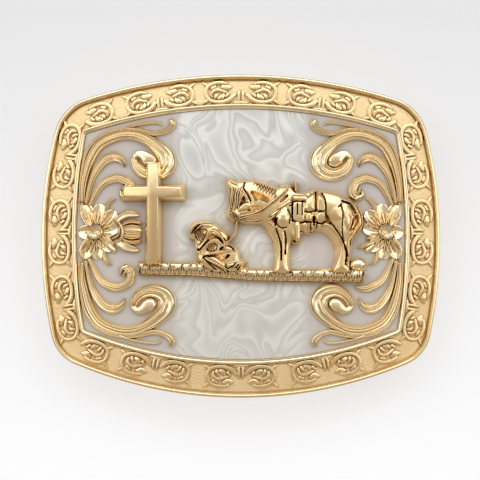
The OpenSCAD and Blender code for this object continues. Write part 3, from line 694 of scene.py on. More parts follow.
def petal(bm, tip_x, tip_y, half, height):
    tip = Vector((tip_x, tip_y))
    along = tip.normalized()
    across = Vector((-along.y, along.x))
    middle = Vector(FLOWER_AT)
    reach = tip.length - half * 0.8
    distance, share, rise = PETAL_ROOT
    rows = [(*(middle + along * distance), half * share, height * rise)]
    for out, share, rise in PETAL_FORM:
        rows.append((*(middle + along * reach * out), half * share, height * rise))
    stroke(bm, rows, DISH)
    for share in PETAL_RIDGES:
        start = middle + along * EYE_R + across * share * half * 0.7
        end = middle + along * (reach * 0.98 - abs(share) * 0.4) + across * share * half
        stroke(bm, ((*start, 0.3, height + 0.3), (*start.lerp(end, 0.5), 0.36, height + 0.2),
                    (*end, 0.3, height)), ROUND, 2)


def eye(bm):
    turned(bm, FLOWER_AT, EYE)
    flattened = Matrix.Diagonal((1, 1, SEED_RISE / SEED_R, 1))
    for spot in scattered(FLOWER_AT, SEED_SPREAD, SEEDS, GOLDEN_ANGLE):
        bmesh.ops.create_icosphere(bm, subdivisions=1, radius=SEED_R,
                                   matrix=Matrix.Translation((*spot, SEED_H)) @ flattened)


def from_flower(rows):
    return [(x + FLOWER_AT[0], y + FLOWER_AT[1], *rest) for x, y, *rest in rows]


SMALL_LEAVES = (
    ((2.6, 5.0, 0.5, 0.9), (2.9, 6.6, 0.62, 1.1), (3.7, 7.7, 0.6, 1.1), (4.7, 8.3, 0.3, 0.8)),
    ((2.2, -5.0, 0.5, 0.9), (2.4, -6.4, 0.62, 1.1), (3.1, -7.4, 0.6, 1.1), (4.0, -8.0, 0.3, 0.8)),
    ((-2.4, 3.4, 0.5, 0.8), (-3.2, 4.6, 0.55, 0.9), (-3.5, 6.0, 0.5, 1.0), (-3.3, 7.2, 0.4, 0.9)),
    ((-2.4, -3.2, 0.5, 0.8), (-3.2, -4.3, 0.55, 0.9), (-3.5, -5.6, 0.5, 1.0), (-3.2, -6.6, 0.4, 0.9)))
BALL_LEAF = ((3.4, -3.4, 0.6, 1.1), (4.6, -4.4, 0.85, 1.15))
# Sideways places of the bud's ribs, and a rib's rows: x, share of its place, half width, height
BUD_RIBS = (-2.5, -1.25, 0, 1.25, 2.5)
BUD_RIB = ((6.4, 0.5, 0.34, 1.1), (7.6, 0.9, 0.54, 1.5), (9.2, 1.06, 0.6, 1.6), (10.8, 0.96, 0.5, 1.4),
           (11.6, 0.86, 0.24, 1.0))
BUD_CORE = ((6.6, 0, 1.3, 0.8), (8.2, 0, 2.3, 0.9), (9.6, 0, 2.2, 0.9))
BUD_LEAVES = (
    ((5.0, 2.5, 0.5, 1.0), (6.8, 3.9, 0.95, 1.3), (8.6, 4.5, 0.9, 1.3), (10.8, 4.2, 0.3, 0.9)),
    ((5.2, -2.3, 0.55, 1.0), (7.2, -3.5, 1.0, 1.3), (9.2, -4.2, 0.85, 1.2), (10.8, -4.5, 0.28, 0.9)))
CUP = (
    ((4.6, -2.6, 0.5, 1.2), (6.4, -1.9, 0.65, 1.4), (6.9, 0, 0.6, 1.5), (6.2, 2.0, 0.55, 1.4),
     (4.6, 3.0, 0.4, 1.1)),
    ((4.4, -1.6, 0.35, 1.2), (5.8, -0.8, 0.4, 1.4), (6.2, 0.9, 0.35, 1.3)))
# Leaves that come out between the right flower and the horse's tail
TAIL_LEAVES = (((3.2, -2.6, 0.5, 1.0), (4.8, -3.1, 0.8, 1.2), (6.2, -3.6, 0.6, 1.1), (7.0, -4.0, 0.22, 0.8)),
               ((3.4, -1.5, 0.4, 0.9), (4.4, -1.5, 0.45, 1.0), (5.1, -1.8, 0.2, 0.8)))


def daisy_drawing(bm):
    for tip in PETALS:
        petal(bm, *tip)
    eye(bm)
    for rows in SMALL_LEAVES:
        stroke(bm, from_flower(rows), TWO_RIDGES)
    stroke(bm, from_flower(BALL_LEAF))


def bud_drawing(bm):
    stroke(bm, from_flower(BUD_CORE))
    for place in BUD_RIBS:
        stroke(bm, from_flower([(x, place * share, *rest) for x, share, *rest in BUD_RIB]))
    for rows in BUD_LEAVES:
        stroke(bm, from_flower(rows), DISH)
    for rows in CUP:
        stroke(bm, from_flower(rows))


def make_flower(node, side):
    bm = bmesh.new()
    daisy_drawing(bm)
    if side < 0:
        bud_drawing(bm)
    else:
        for rows in TAIL_LEAVES:
            stroke(bm, from_flower(rows), TWO_RIDGES)
        mirrored(bm, True)
    finish_piece(bm, "daisy_" + node, node, (cast,), ENAMEL_H)


# Cross

CROSS_X, STEM_W, STEM_TOP, STEM_FOOT = -21.6, 2.6, 17.6, -7.0
ARM_Y, ARM_W, ARM_LENGTH = 10.6, 2.5, 14.2
CROSS_H, CROSS_DRAFT, CROSS_EDGE = 3.9, 1.0, 0.3
# How sharp an edge has to be, in degrees, to stay sharp
CROSS_SHARP = 25


def make_cross():
    """The top of the cross, whose extruded copy becomes its foot, spread by the draft."""
    bm = bmesh.new()
    stem, arm, reach = STEM_W / 2, ARM_W / 2, ARM_LENGTH / 2
    corners = [(stem, STEM_FOOT), (stem, ARM_Y - arm), (reach, ARM_Y - arm),
               (reach, ARM_Y + arm), (stem, ARM_Y + arm), (stem, STEM_TOP)]
    corners += [(-x, y) for x, y in reversed(corners)]
    face = bm.faces.new([bm.verts.new((CROSS_X + x, y, CROSS_H)) for x, y in corners])
    foot = bmesh.ops.extrude_face_region(bm, geom=[face])["geom"]
    low = [item for item in foot if isinstance(item, bmesh.types.BMVert)]
    for vert in low:
        x, y = vert.co.x - CROSS_X, vert.co.y
        vert.co.x += math.copysign(CROSS_DRAFT, x)
        vert.co.y += CROSS_DRAFT if y > ARM_Y else -CROSS_DRAFT
        vert.co.z = -ROOT
    bmesh.ops.recalc_face_normals(bm, faces=bm.faces)
    edges = [edge for edge in bm.edges if max(vert.co.z for vert in edge.verts) > 0]
    bmesh.ops.bevel(bm, geom=edges, offset=CROSS_EDGE, offset_type="OFFSET", affect="EDGES", segments=3,
                    profile=0.5, material=-1)
    finish_piece(bm, "latin_cross", "cross", (smooth,), ENAMEL_H, CROSS_SHARP)


# Grass

GRASS_LEFT, GRASS_RIGHT = -25.4, 30.6
GRASS_COLUMNS, BLADES = 90, 88
GRASS_TOP = ((-25.4, -7.3), (-12, -7.4), (-5, -8.1), (2, -9.0), (30.6, -9.2))
GRASS_BOTTOM = ((-25.4, -9.7), (-12, -10.0), (0, -10.9), (4, -11.2), (15, -11.4), (30.6, -11.6))
# Section of the bank, from its foot above to its foot below: share of the way down, rise, height
BANK_SECTION = (
    (0, 1.1, -ROOT), (0, 0.6, 0.7), (0, 0.2, 1.0), (0.12, 0, 1.1), (0.75, 0, 1.1), (0.82, 0, 1.0),
    (0.87, 0, 1.5), (1, 0.12, 1.8), (1, -0.1, 1.6), (1, -0.25, -ROOT), (0, 1.1, -ROOT))


def height_on(line, x):
    """y of a line of points at x."""
    for (x0, y0), (x1, y1) in zip(line, line[1:]):
        if x <= x1:
            return y0 + (y1 - y0) * (x - x0) / (x1 - x0)
    return line[-1][1]


def grass_edges(x):
    """y of the bank's upper and lower edge at x."""
    return height_on(GRASS_TOP, x), height_on(GRASS_BOTTOM, x)


def grass_blade(bm, k):
    """A blade that leans and reaches up differently from the one beside it."""
    x = GRASS_LEFT + 0.3 + (GRASS_RIGHT - GRASS_LEFT - 0.7) * k / (BLADES - 1)
    top, bottom = grass_edges(x)
    lean = 0.6 * math.sin(k * 2.4)
    tip = top + 0.4 * math.sin(k * 1.7) + 0.2 * math.sin(k * 5.3)
    bend = 0.4 if k % 3 else -0.36
    foot = bottom + 0.55 + 0.45 * math.sin(k * 3.1)
    stroke(bm, ((x - lean * 0.4, foot, 0.16, 1.6), (x, (top + bottom) / 2, 0.25, 2.1),
                (x + lean, tip, 0.22, 2.1), (x + lean + bend, tip - 0.25, 0.15, 1.8)), FINE_ROUND, 2)


def make_ground_strip():
    bm = bmesh.new()

    def place(i, j):
        x = GRASS_LEFT + (GRASS_RIGHT - GRASS_LEFT) * i / (GRASS_COLUMNS - 1)
        share, rise, height = BANK_SECTION[j]
        top, bottom = grass_edges(x)
        at_end = i in (0, GRASS_COLUMNS - 1)
        return x, top + (bottom - top) * share + rise, min(height, 0.2) if at_end else height

    sheet(bm, GRASS_COLUMNS, len(BANK_SECTION), place)
    bmesh.ops.holes_fill(bm, edges=[edge for edge in bm.edges if edge.is_boundary], sides=0)
    for k in range(BLADES):
        grass_blade(bm, k)
    finish_piece(bm, "grass_strip", "ground_strip", (cast,), ENAMEL_H)


# Cast figures

# Highest that a figure rises, the rise of its walls over their draft, and the level that no crease
# cuts below
RELIEF_TOP, WALL_H, LOWEST = 3.8, 2.6, 0.35
# How softly the walls run into the top, and how low the skirt outside the outline goes
WALL_BLEND, SKIRT = 0.35, -0.25
# Cells of the grid that stay outside the outline, and cells that it starts with on each side
SKIRT_CELLS, MARGIN_CELLS = 1.6, 2
# A level line shifted by this meets no point of an outline
LINE_SHIFT = 1e-5


def segment_distance(point, start, end):
    reach = end - start
    share = max(0, min(1, (point - start).dot(reach) / max(reach.length_squared, 1e-9)))
    return (point - start - reach * share).length


def path_distance(point, path):
    return min(segment_distance(point, start, end) for start, end in zip(path, path[1:]))


def crossings(curve, y):
    """Where a level line crosses a closed curve."""
    return [start.x + (end.x - start.x) * (y - start.y) / (end.y - start.y)
            for start, end in zip(curve, curve[1:] + curve[:1]) if (start.y > y) != (end.y > y)]


def is_inside(crossed, x):
    """Whether x lies inside, from where its level line crosses the curve."""
    return sum(x < cross for cross in crossed) % 2 == 1


class Box:
    """The flat box round some points."""

    def __init__(self, points, margin=0.0):
        xs, ys = zip(*points)
        self.left, self.right = min(xs) - margin, max(xs) + margin
        self.low, self.high = min(ys) - margin, max(ys) + margin

    def holds(self, point):
        return self.left < point.x < self.right and self.low < point.y < self.high


class Line:
    """A crease or ridge along a path: half width, and height (below zero for a crease)."""

    def __init__(self, half, height, points):
        self.half, self.height = half, height
        self.path = [Vector(row) for row in smooth_rows(points, 3)]
        self.box = Box(self.path, half)

    def at(self, point):
        if not self.box.holds(point):
            return 0.0
        return self.height * max(0, 1 - (path_distance(point, self.path) / self.half) ** 2)


class Panel:
    """A raised or hollow patch inside an outline: rise, and how far its rounded edge reaches in."""

    def __init__(self, rise, edge, points):
        self.rise, self.edge = rise, edge
        self.curve = closed_curve(points, 3)
        self.box = Box(self.curve)

    def at(self, point):
        if not self.box.holds(point) or not is_inside(crossings(self.curve, point.y), point.x):
            return 0.0
        near = path_distance(point, self.curve + self.curve[:1])
        return self.rise * (1 - math.exp(-near / self.edge))


def swelling(x, y, middle_x, middle_y, half_x, half_y, turn, rise):
    """How much a round swelling adds at a place: its middle, half sizes, turn in degrees and rise."""
    dx, dy = x - middle_x, y - middle_y
    c, s = math.cos(math.radians(turn)), math.sin(math.radians(turn))
    far = ((dx * c + dy * s) / half_x) ** 2 + ((dy * c - dx * s) / half_y) ** 2
    return rise * max(0, 1 - far)


class Relief:
    """A cast figure: walls that rise from its outline, a rounded level, swellings, lines and panels.

    Level is the height of its top at the walls, dome how much higher its middle is, and rounding how
    soon it gets there. Draft is how far the walls lean in, and drafts hold places where they lean
    otherwise: x, y, reach and draft.
    """

    def __init__(self, outline, level, dome, rounding, draft, drafts, swellings, lines, panels):
        self.curve = closed_curve(outline, 10)
        self.tree = kdtree.KDTree(len(self.curve))
        for i, point in enumerate(self.curve):
            self.tree.insert((*point, 0), i)
        self.tree.balance()
        self.level, self.dome, self.rounding, self.draft = level, dome, rounding, draft
        self.drafts, self.swellings = drafts, swellings
        self.details = [Line(*line) for line in lines] + [Panel(*panel) for panel in panels]

    def edge_distance(self, point):
        _, i, _ = self.tree.find((*point, 0))
        here, ahead = self.curve[i], self.curve[(i + 1) % len(self.curve)]
        return min(segment_distance(point, here, ahead), segment_distance(point, here, self.curve[i - 1]))

    def height(self, x, y, inside):
        point = Vector((x, y))
        depth = self.edge_distance(point) * (1 if inside else -1)
        draft = self.draft
        for spot_x, spot_y, reach, wide in self.drafts:
            near = max(0, 1 - (Vector((spot_x, spot_y)) - point).length / reach)
            draft += (wide - self.draft) * near * near * (3 - 2 * near)
        wall = WALL_H * depth / draft
        if not inside:
            return max(wall, SKIRT)
        top = self.level + self.dome * (1 - math.exp(-depth / self.rounding))
        top += sum(swelling(x, y, *row) for row in self.swellings)
        share = max(0, min(1, 0.5 + 0.5 * (top - wall) / WALL_BLEND))
        height = top + (wall - top) * share - WALL_BLEND * share * (1 - share)
        cut = sum(detail.at(point) for detail in self.details)
        return min(max(height + cut, min(height, LOWEST)), RELIEF_TOP)

    def ground(self, x, y):
        return max(0.0, self.height(x, y, is_inside(crossings(self.curve, y), x)))

    def build(self, bm, pitch):
        """A grid of squares over the figure, without those that lie well outside its outline."""
        box = Box(self.curve)
        columns = int((box.right - box.left) / pitch) + 2 * MARGIN_CELLS + 1
        rows = int((box.high - box.low) / pitch) + 2 * MARGIN_CELLS + 1
        verts = bmesh.ops.create_grid(bm, x_segments=columns, y_segments=rows, size=0.5)["verts"]
        crossed = {}
        outside = []
        for vert in verts:
            i, j = round((vert.co.x + 0.5) * columns), round((vert.co.y + 0.5) * rows)
            x = box.left + (i - MARGIN_CELLS) * pitch
            y = box.low + (j - MARGIN_CELLS) * pitch + LINE_SHIFT
            if j not in crossed:
                crossed[j] = crossings(self.curve, y)
            inside = is_inside(crossed[j], x)
            if not inside and self.edge_distance(Vector((x, y))) > SKIRT_CELLS * pitch:
                outside.append(vert)
            else:
                vert.co = (x, y, self.height(x, y, inside))
        bmesh.ops.delete(bm, geom=outside, context="VERTS")
        bmesh.ops.holes_fill(bm, edges=[edge for edge in bm.edges if edge.is_boundary], sides=0)


# How sharp an edge has to be, in degrees, to stay sharp on a figure
FIGURE_SHARP = 60

# Distance of the points of the horse's grid, and the top that its raised parts are cut to
HORSE_PITCH, HORSE_TOP = 0.13, 3.74
HORSE_OUTLINE = (
    (-3.5, 14.5), (-2.6, 14.2), (-1.1, 13.6), (0.8, 13.7), (2.9, 13.9), (4.6, 13.7), (6.3, 13.1),
    (7.8, 12.5), (9.1, 12.0), (9.8, 12.4), (10.8, 12.8), (11.9, 12.8), (12.7, 12.2), (13.6, 11.2),
    (14.8, 11.0), (16.3, 11.1), (17.5, 11.3), (20.1, 11.3), (21.6, 11.3), (23.3, 10.9), (24.8, 10.4),
    (26.1, 9.7), (27.2, 9.3), (28.7, 8.0), (29.9, 6.5), (30.5, 4.8), (30.6, 2.9), (30.0, 1.2),
    (28.9, -0.3), (27.9, -1.4), (27.7, -2.7), (27.6, -4.6), (27.2, -6.4), (27.3, -8.4), (27.4, -9.6),
    (22.4, -9.6), (22.3, -7.9), (22.9, -6.5), (23.1, -4.6), (22.8, -2.7), (22.1, -1.2), (21.0, 0.0),
    (19.9, 0.6), (18.4, 0.6), (17.2, 0.1), (15.2, 0.0), (14.9, -1.9), (13.9, -2.3), (12.7, -2.2),
    (12.5, -4.3), (12.3, -7.1), (12.3, -9.6), (7.8, -9.6), (8.0, -7.1), (8.1, -4.9), (7.9, -3.0),
    (7.3, -1.1), (6.6, 0.3), (5.9, 1.6), (5.0, 2.5), (3.4, 2.5), (1.6, 2.6), (0.2, 2.7), (-0.8, 2.9),
    (-1.8, 2.8), (-2.6, 3.4), (-3.3, 4.3), (-3.8, 5.2), (-3.6, 6.2), (-3.2, 7.2), (-3.1, 8.7),
    (-3.3, 10.2), (-3.5, 11.3), (-3.8, 12.2), (-3.9, 13.3))
# Places where the walls lean in otherwise: x, y, reach, draft
HORSE_DRAFTS = ((22.6, -2.5, 4.5, 2.2), (20.5, 1.0, 3.0, 1.6), (7.6, -3.0, 4.5, 1.4), (12.6, -5.0, 3.0, 1.0))
# Swellings: middle, half sizes, turn in degrees, rise
HORSE_SWELLINGS = (
    (22.5, 7.4, 4.4, 3.9, -20, 0.5), (24.2, 2.6, 3.2, 4.4, 10, 0.35), (10.4, 4.2, 1.9, 2.5, 0, 0.6),
    (1.0, 6.9, 2.2, 1.2, 22, 0.75), (-1.8, 4.9, 1.6, 1.5, 20, 0.45), (26.3, 4.5, 1.2, 3.6, 6, 0.3))
# Raised and hollow patches: rise, reach of the rounded edge, outline
HORSE_PANELS = (
    # Seat, skirt, the two bags, the two pockets under them
    (0.5, 0.16, ((12.6, 8.5), (12.6, 9.8), (14.4, 9.75), (16.2, 9.8), (16.2, 8.5), (14.4, 8.55))),
    (0.4, 0.14, ((12.8, 3.7), (12.8, 7.9), (15.4, 7.9), (15.6, 3.6), (14.2, 3.1))),
    (0.65, 0.4, ((15.7, 6.1), (15.6, 8.1), (16.5, 9.6), (18.2, 10.5), (18.25, 8.0), (18.2, 6.1),
                 (17.0, 5.8))),
    (0.65, 0.35, ((18.55, 6.0), (18.5, 8.2), (18.6, 10.6), (19.8, 9.9), (20.5, 8.2), (20.6, 6.0),
                  (19.6, 5.8))),
    (0.5, 0.2, ((15.9, 3.5), (15.9, 5.2), (16.7, 5.6), (17.5, 5.2), (17.5, 3.5), (16.7, 3.4))),
    (0.6, 0.25, ((18.4, 3.5), (18.4, 5.2), (19.5, 5.7), (20.6, 5.4), (20.7, 3.6), (19.5, 3.1))),
    # Dark hollows of the neck, the cheek, the breast straps, behind the bags and in the tail
    (-2.5, 0.22, ((2.4, 10.7), (4.3, 10.4), (6.9, 8.9), (6.3, 7.9), (4.8, 8.6), (3.5, 8.3), (3.0, 9.3))),
    (-2.0, 0.2, ((0.65, 9.6), (1.3, 8.2), (0.6, 7.7), (-0.3, 7.0), (0.1, 8.3))),
    (-1.8, 0.14, ((7.1, 4.9), (8.6, 6.05), (8.8, 5.6), (7.3, 4.5))),
    (-1.8, 0.18, ((7.5, 3.8), (8.9, 4.4), (8.9, 3.2), (8.5, 1.9), (8.2, 2.9))),
    (-2.1, 0.2, ((20.8, 4.7), (21.4, 4.8), (22.4, 2.6), (21.1, 3.0))),
    (-1.7, 0.12, ((17.7, 4.5), (18.2, 4.5), (18.15, 2.5), (17.7, 2.5))),
    (-1.5, 0.25, ((27.1, 3.0), (28.2, 4.9), (29.1, 4.6), (28.9, 3.0), (27.9, 1.4), (26.8, 1.2))),
    (-0.9, 0.2, ((26.9, 7.6), (27.9, 7.0), (28.6, 5.6), (28.1, 5.2), (27.3, 6.2))),
    (-1.3, 0.2, ((2.6, 7.2), (4.8, 7.2), (5.6, 5.9), (4.4, 6.1), (2.4, 5.9), (1.6, 5.9))),
    (-1.1, 0.2, ((9.5, 8.4), (11.2, 9.9), (11.6, 9.4), (10.0, 7.9))))
# Half width, height, and points of the creases and ridges
HORSE_LINES = (
    (0.2, -0.8, ((0.95, 12.95), (0.75, 12.0), (0.72, 11.3), (1.7, 9.9), (2.4, 8.2))),
    (0.2, -1.0, ((8.6, 1.6), (9.0, 0.4), (9.5, -1.2), (9.9, -2.8), (9.9, -4.4), (9.9, -6.0))),
    (0.18, -0.8, ((10.7, 0.9), (11.0, -0.6), (11.0, -2.4), (10.9, -4.6))),
    (0.26, -1.2, ((24.9, 8.4), (25.8, 8.1), (26.8, 7.8))),
    (0.16, -0.8, ((24.0, 6.9), (24.4, 7.4), (24.8, 7.7))),
    (0.15, -0.6, ((24.6, 7.2), (25.0, 5.8), (25.0, 4.2), (24.8, 1.8), (25.0, -0.2), (25.3, -1.8))),
    (0.24, -1.3, ((25.3, -2.2), (25.8, -3.6), (25.9, -5.2), (25.7, -7.2))),
    (0.16, -0.8, ((21.9, 3.4), (23.2, 1.6), (24.5, -0.4), (25.2, -1.9))),
    (0.18, -0.8, ((12.6, 9.2), (12.6, 6.0), (12.6, 3.4))),
    (0.13, -0.6, ((13.8, 7.7), (13.8, 4.9))),
    (0.16, -0.7, ((15.0, 7.7), (15.0, 4.9))),
    (0.2, -1.0, ((12.9, 3.5), (14.1, 2.95), (15.8, 3.3))),
    (0.16, -0.8, ((12.6, 8.2), (14.4, 8.25), (15.6, 8.3))),
    (0.17, -0.8, ((18.4, 10.6), (18.38, 8.0), (18.35, 5.8))),
    (0.17, -0.9, ((19.9, 10.3), (20.7, 8.6), (20.85, 6.0), (20.8, 4.6))),
    (0.15, -0.7, ((15.6, 5.75), (17.0, 5.65), (18.3, 5.9), (20.6, 5.9))),
    (0.18, -0.9, ((15.9, 3.2), (17.4, 3.15))),
    (0.18, -0.9, ((18.4, 3.2), (19.6, 2.75), (20.8, 3.3))),
    (0.13, -0.5, ((17.0, 3.1), (17.1, 0.7))),
    (0.13, -0.5, ((18.6, 3.0), (18.6, 0.9))),
    (0.18, -0.7, ((14.7, 0.95), (16.4, 0.75), (18.4, 0.95))),
    (0.15, -0.6, ((9.2, 6.6), (8.6, 5.6), (8.4, 4.2), (8.9, 2.6), (9.9, 1.7), (11.2, 1.9))),
    (0.14, -0.6, ((11.5, 6.3), (12.1, 4.8), (11.9, 2.9))),
    (0.16, -0.7, ((12.0, 7.2), (12.5, 7.4), (12.6, 8.0))),
)
# Rows of raised strands: x, y, half width, height above the figure
HORSE_STRANDS = (
    # Cheek strap, rein to the horn, breast straps, reins that hang from the bit
    ((0.5, 12.3, 0.2, 0.3), (0.35, 11.3, 0.22, 0.35), (1.3, 9.7, 0.24, 0.35), (2.2, 7.9, 0.24, 0.35)),
    ((12.2, 12.3, 0.26, 0.5), (8.8, 9.05, 0.24, 0.5), (4.3, 5.75, 0.22, 0.6), (-0.5, 4.5, 0.2, 0.5)),
    ((11.6, 11.0, 0.16, 0.5), (8.6, 8.35, 0.16, 0.5), (5.2, 5.75, 0.14, 0.5)),
    ((13.0, 8.9, 0.45, 0.5), (10.4, 7.2, 0.42, 0.5), (7.1, 4.7, 0.34, 0.5)),
    ((9.7, 5.9, 0.22, 0.4), (8.2, 4.7, 0.22, 0.4), (6.8, 3.7, 0.2, 0.4)),
    ((-0.4, 3.9, 0.2, 0.5), (2.2, 4.7, 0.2, 0.5), (4.9, 5.3, 0.18, 0.5)),
    ((-0.2, 3.5, 0.2, 0.5), (2.2, 3.0, 0.2, 0.5), (5.2, 3.2, 0.2, 0.5)),
    ((0.4, 3.75, 0.14, 0.5), (2.4, 3.45, 0.14, 0.5), (5.0, 3.7, 0.14, 0.5)),
    # Edges of the breast and of the forelegs
    ((5.3, 3.1, 0.22, 0.4), (6.0, 1.6, 0.2, 0.3), (6.9, -0.1, 0.2, 0.3), (7.7, -1.6, 0.2, 0.3)),
    ((6.8, 3.3, 0.24, 0.4), (8.1, 1.9, 0.24, 0.3), (9.0, -0.6, 0.22, 0.3), (9.4, -3.2, 0.2, 0.35),
     (9.5, -8.0, 0.2, 0.4)),
    ((10.3, 0.6, 0.3, 0.3), (10.4, -1.6, 0.34, 0.3), (10.3, -4.2, 0.3, 0.35), (10.4, -7.8, 0.26, 0.4)),
    # Front edge of the thigh and of the hind leg, back of the hind leg
    ((20.4, 2.6, 0.2, 0.3), (21.8, 2.3, 0.22, 0.3), (23.4, 0.6, 0.22, 0.3), (24.8, -1.5, 0.22, 0.35),
     (25.2, -4.0, 0.22, 0.4), (24.9, -7.4, 0.22, 0.4)),
    ((26.5, -1.6, 0.26, 0.5), (26.6, -4.4, 0.26, 0.5), (26.4, -7.6, 0.26, 0.5)),
    # Cantle with its knob, belly folds
    ((17.3, 10.6, 0.5, 0.5), (18.0, 11.2, 0.62, 0.8), (18.9, 11.0, 0.4, 0.6)),
    ((15.7, 2.5, 0.55, 0.35), (15.8, 1.2, 0.6, 0.35)), ((17.8, 2.2, 0.5, 0.35), (17.85, 1.3, 0.5, 0.35)),
    ((19.6, 2.3, 0.6, 0.35), (19.4, 1.5, 0.55, 0.35)),
    # Root of the mane beside the saddle
    ((9.8, 12.3, 0.3, 0.3), (10.6, 11.4, 0.3, 0.4), (10.9, 10.6, 0.24, 0.3)),
    ((10.6, 12.5, 0.26, 0.3), (11.4, 11.6, 0.28, 0.4), (11.6, 10.9, 0.2, 0.3)),
)
CONCHOS = ((17.95, 6.3), (17.95, 5.3), (14.4, 2.4), (9.0, 9.2))
TAIL_STRANDS = (
    ((27.0, 9.0, 0.28, 0.4), (28.6, 7.4, 0.3, 0.5), (29.8, 5.0, 0.32, 0.5), (30.0, 2.6, 0.3, 0.5),
     (28.6, 0.2, 0.3, 0.5), (27.2, -1.6, 0.22, 0.4)),
    ((26.8, 8.2, 0.22, 0.3), (28.0, 6.6, 0.24, 0.4), (28.9, 4.4, 0.24, 0.4), (28.8, 2.2, 0.24, 0.4),
     (27.4, 0.0, 0.2, 0.4), (26.4, -1.6, 0.2, 0.4)),
    ((27.4, 6.4, 0.2, 0.3), (28.0, 4.2, 0.22, 0.4), (27.8, 2.4, 0.22, 0.4), (26.6, 0.4, 0.2, 0.4)),
    ((26.9, 5.0, 0.18, 0.3), (27.2, 3.4, 0.2, 0.4), (26.4, 1.6, 0.18, 0.4)),
    ((27.3, -1.4, 0.25, 0.6), (27.0, -3.6, 0.25, 0.6), (26.9, -5.6, 0.2, 0.6)),
    ((26.4, -1.4, 0.22, 0.6), (26.3, -3.2, 0.22, 0.6), (26.5, -5.2, 0.2, 0.6)),
)
# Rows of strands that rise from the enamel: x, y, half width, height
REIN = ((-0.9, 3.5, 0.42, 2.7), (-1.1, 2.0, 0.42, 2.7), (-1.5, 0.4, 0.4, 2.8), (-2.6, -1.0, 0.34, 3.0),
        (-3.9, -2.5, 0.28, 3.1))
HORN = ((13.5, 11.0, 0.42, 3.1), (13.5, 12.2, 0.45, 3.2), (13.7, 12.9, 0.55, 3.4))
STIRRUP = ((12.6, 1.6, 0.28, 3.3), (12.5, -1.0, 0.28, 3.3), (13.0, -1.9, 0.3, 3.3), (14.4, -1.8, 0.3, 3.3))
STIRRUP_STRAP = ((13.9, 3.0, 0.62, 3.5), (13.9, -1.4, 0.62, 3.4))
# Crescents on the neck: first and last place of a row, how many, their length and half width
CREST_ROWS = (((3.2, 12.85), (8.6, 10.9), 9, 0.36, 0.17), ((4.2, 11.85), (8.4, 9.9), 7, 0.62, 0.21))


def crest_hair(bm, ground):
    """Two rows of short crescents along the crest of the neck."""
    for first, last, count, length, half in CREST_ROWS:
        for k in range(count):
            spot = Vector(first).lerp(Vector(last), k / (count - 1))
            stroke(bm, ((spot.x - 0.1, spot.y + length, half * 0.7, 0.6), (spot.x + 0.2, spot.y, half, 0.75),
                        (spot.x - 0.12, spot.y - length, half * 0.7, 0.4)), FINE_ROUND, 2, ground)


# Forelock strands: x at the poll, x half way down, x at the nose, half width
FORELOCK = ((-2.7, -2.9, -2.7, 0.2), (-2.0, -2.2, -2.3, 0.22), (-1.4, -1.9, -1.6, 0.18),
            (-0.7, -1.3, -1.5, 0.22), (-0.1, -0.8, -1.0, 0.2), (0.3, -0.2, -0.6, 0.18))
# The strand across the brow, and the one round the muzzle
HEAD_STRANDS = (
    ((-3.2, 13.9, 0.24, 0.4), (-2.2, 13.1, 0.36, 0.6), (-1.0, 12.4, 0.3, 0.5)),
    ((-2.9, 6.3, 0.24, 0.5), (-1.9, 6.0, 0.26, 0.6), (-0.9, 5.0, 0.24, 0.6), (-0.3, 4.2, 0.24, 0.5)))


def forelock(bm, ground):
    for top_x, middle_x, low_x, half in FORELOCK:
        stroke(bm, ((top_x, 11.6, half, 0.4), (middle_x, 9.9, half, 0.6), (middle_x - 0.1, 8.4, half, 0.6),
                    (low_x, 6.6, half * 0.8, 0.5)), FINE_ROUND, 3, ground)
    for rows in HEAD_STRANDS:
        stroke(bm, rows, ROUND, 3, ground)
    for spot in scattered((-1.95, 4.7), 1.15, 14):
        stroke(bm, ((spot.x - 0.16, spot.y - 0.18, 0.15, 0.5), (spot.x + 0.16, spot.y + 0.1, 0.15, 0.5)),
               FINE_ROUND, 1, ground)


def make_horse():
    bm = bmesh.new()
    relief = Relief(HORSE_OUTLINE, level=2.1, dome=1.1, rounding=1.5, draft=0.75, drafts=HORSE_DRAFTS,
                    swellings=HORSE_SWELLINGS, lines=HORSE_LINES, panels=HORSE_PANELS)
    relief.build(bm, HORSE_PITCH)
    for rows in HORSE_STRANDS + TAIL_STRANDS:
        stroke(bm, rows, ground=relief.ground)
    crest_hair(bm, relief.ground)
    forelock(bm, relief.ground)
    for x, y in CONCHOS:
        stroke(bm, ((x - 0.01, y, 0.24, 0.25), (x + 0.01, y, 0.24, 0.25)), FINE_ROUND, 1, relief.ground)
    for rows in (REIN, HORN, STIRRUP):
        stroke(bm, rows)
    stroke(bm, STIRRUP_STRAP, STRAP)
    for vert in bm.verts:
        vert.co.z = min(vert.co.z, HORSE_TOP)
    finish_piece(bm, "saddled_horse", "horse", (polished,), ENAMEL_H, FIGURE_SHARP)


RIDER_PITCH = 0.1
RIDER_OUTLINE = (
    (-12.9, 0.4), (-12.8, 1.8), (-12.0, 3.0), (-10.7, 3.7), (-9.4, 3.8), (-8.0, 3.7), (-6.6, 3.2),
    (-5.6, 2.7), (-4.6, 1.9), (-3.5, 1.0), (-2.8, 0.1), (-2.7, -0.9), (-2.3, -1.9), (-1.2, -2.7),
    (-0.3, -3.7), (0.0, -4.9), (0.3, -5.7), (1.7, -6.1), (1.8, -6.7), (0.9, -7.6), (0.4, -8.8),
    (-0.5, -9.4), (-6.4, -9.4), (-8.0, -8.8), (-9.4, -8.0), (-10.2, -7.0), (-10.9, -6.0), (-11.1, -5.0),
    (-11.4, -4.1), (-11.6, -2.7), (-11.6, -1.4), (-12.5, -1.1), (-13.0, -0.4))
RIDER_DRAFTS = ((-10.6, 3.2, 3.6, 1.3), (-4.6, 1.6, 2.4, 1.0))
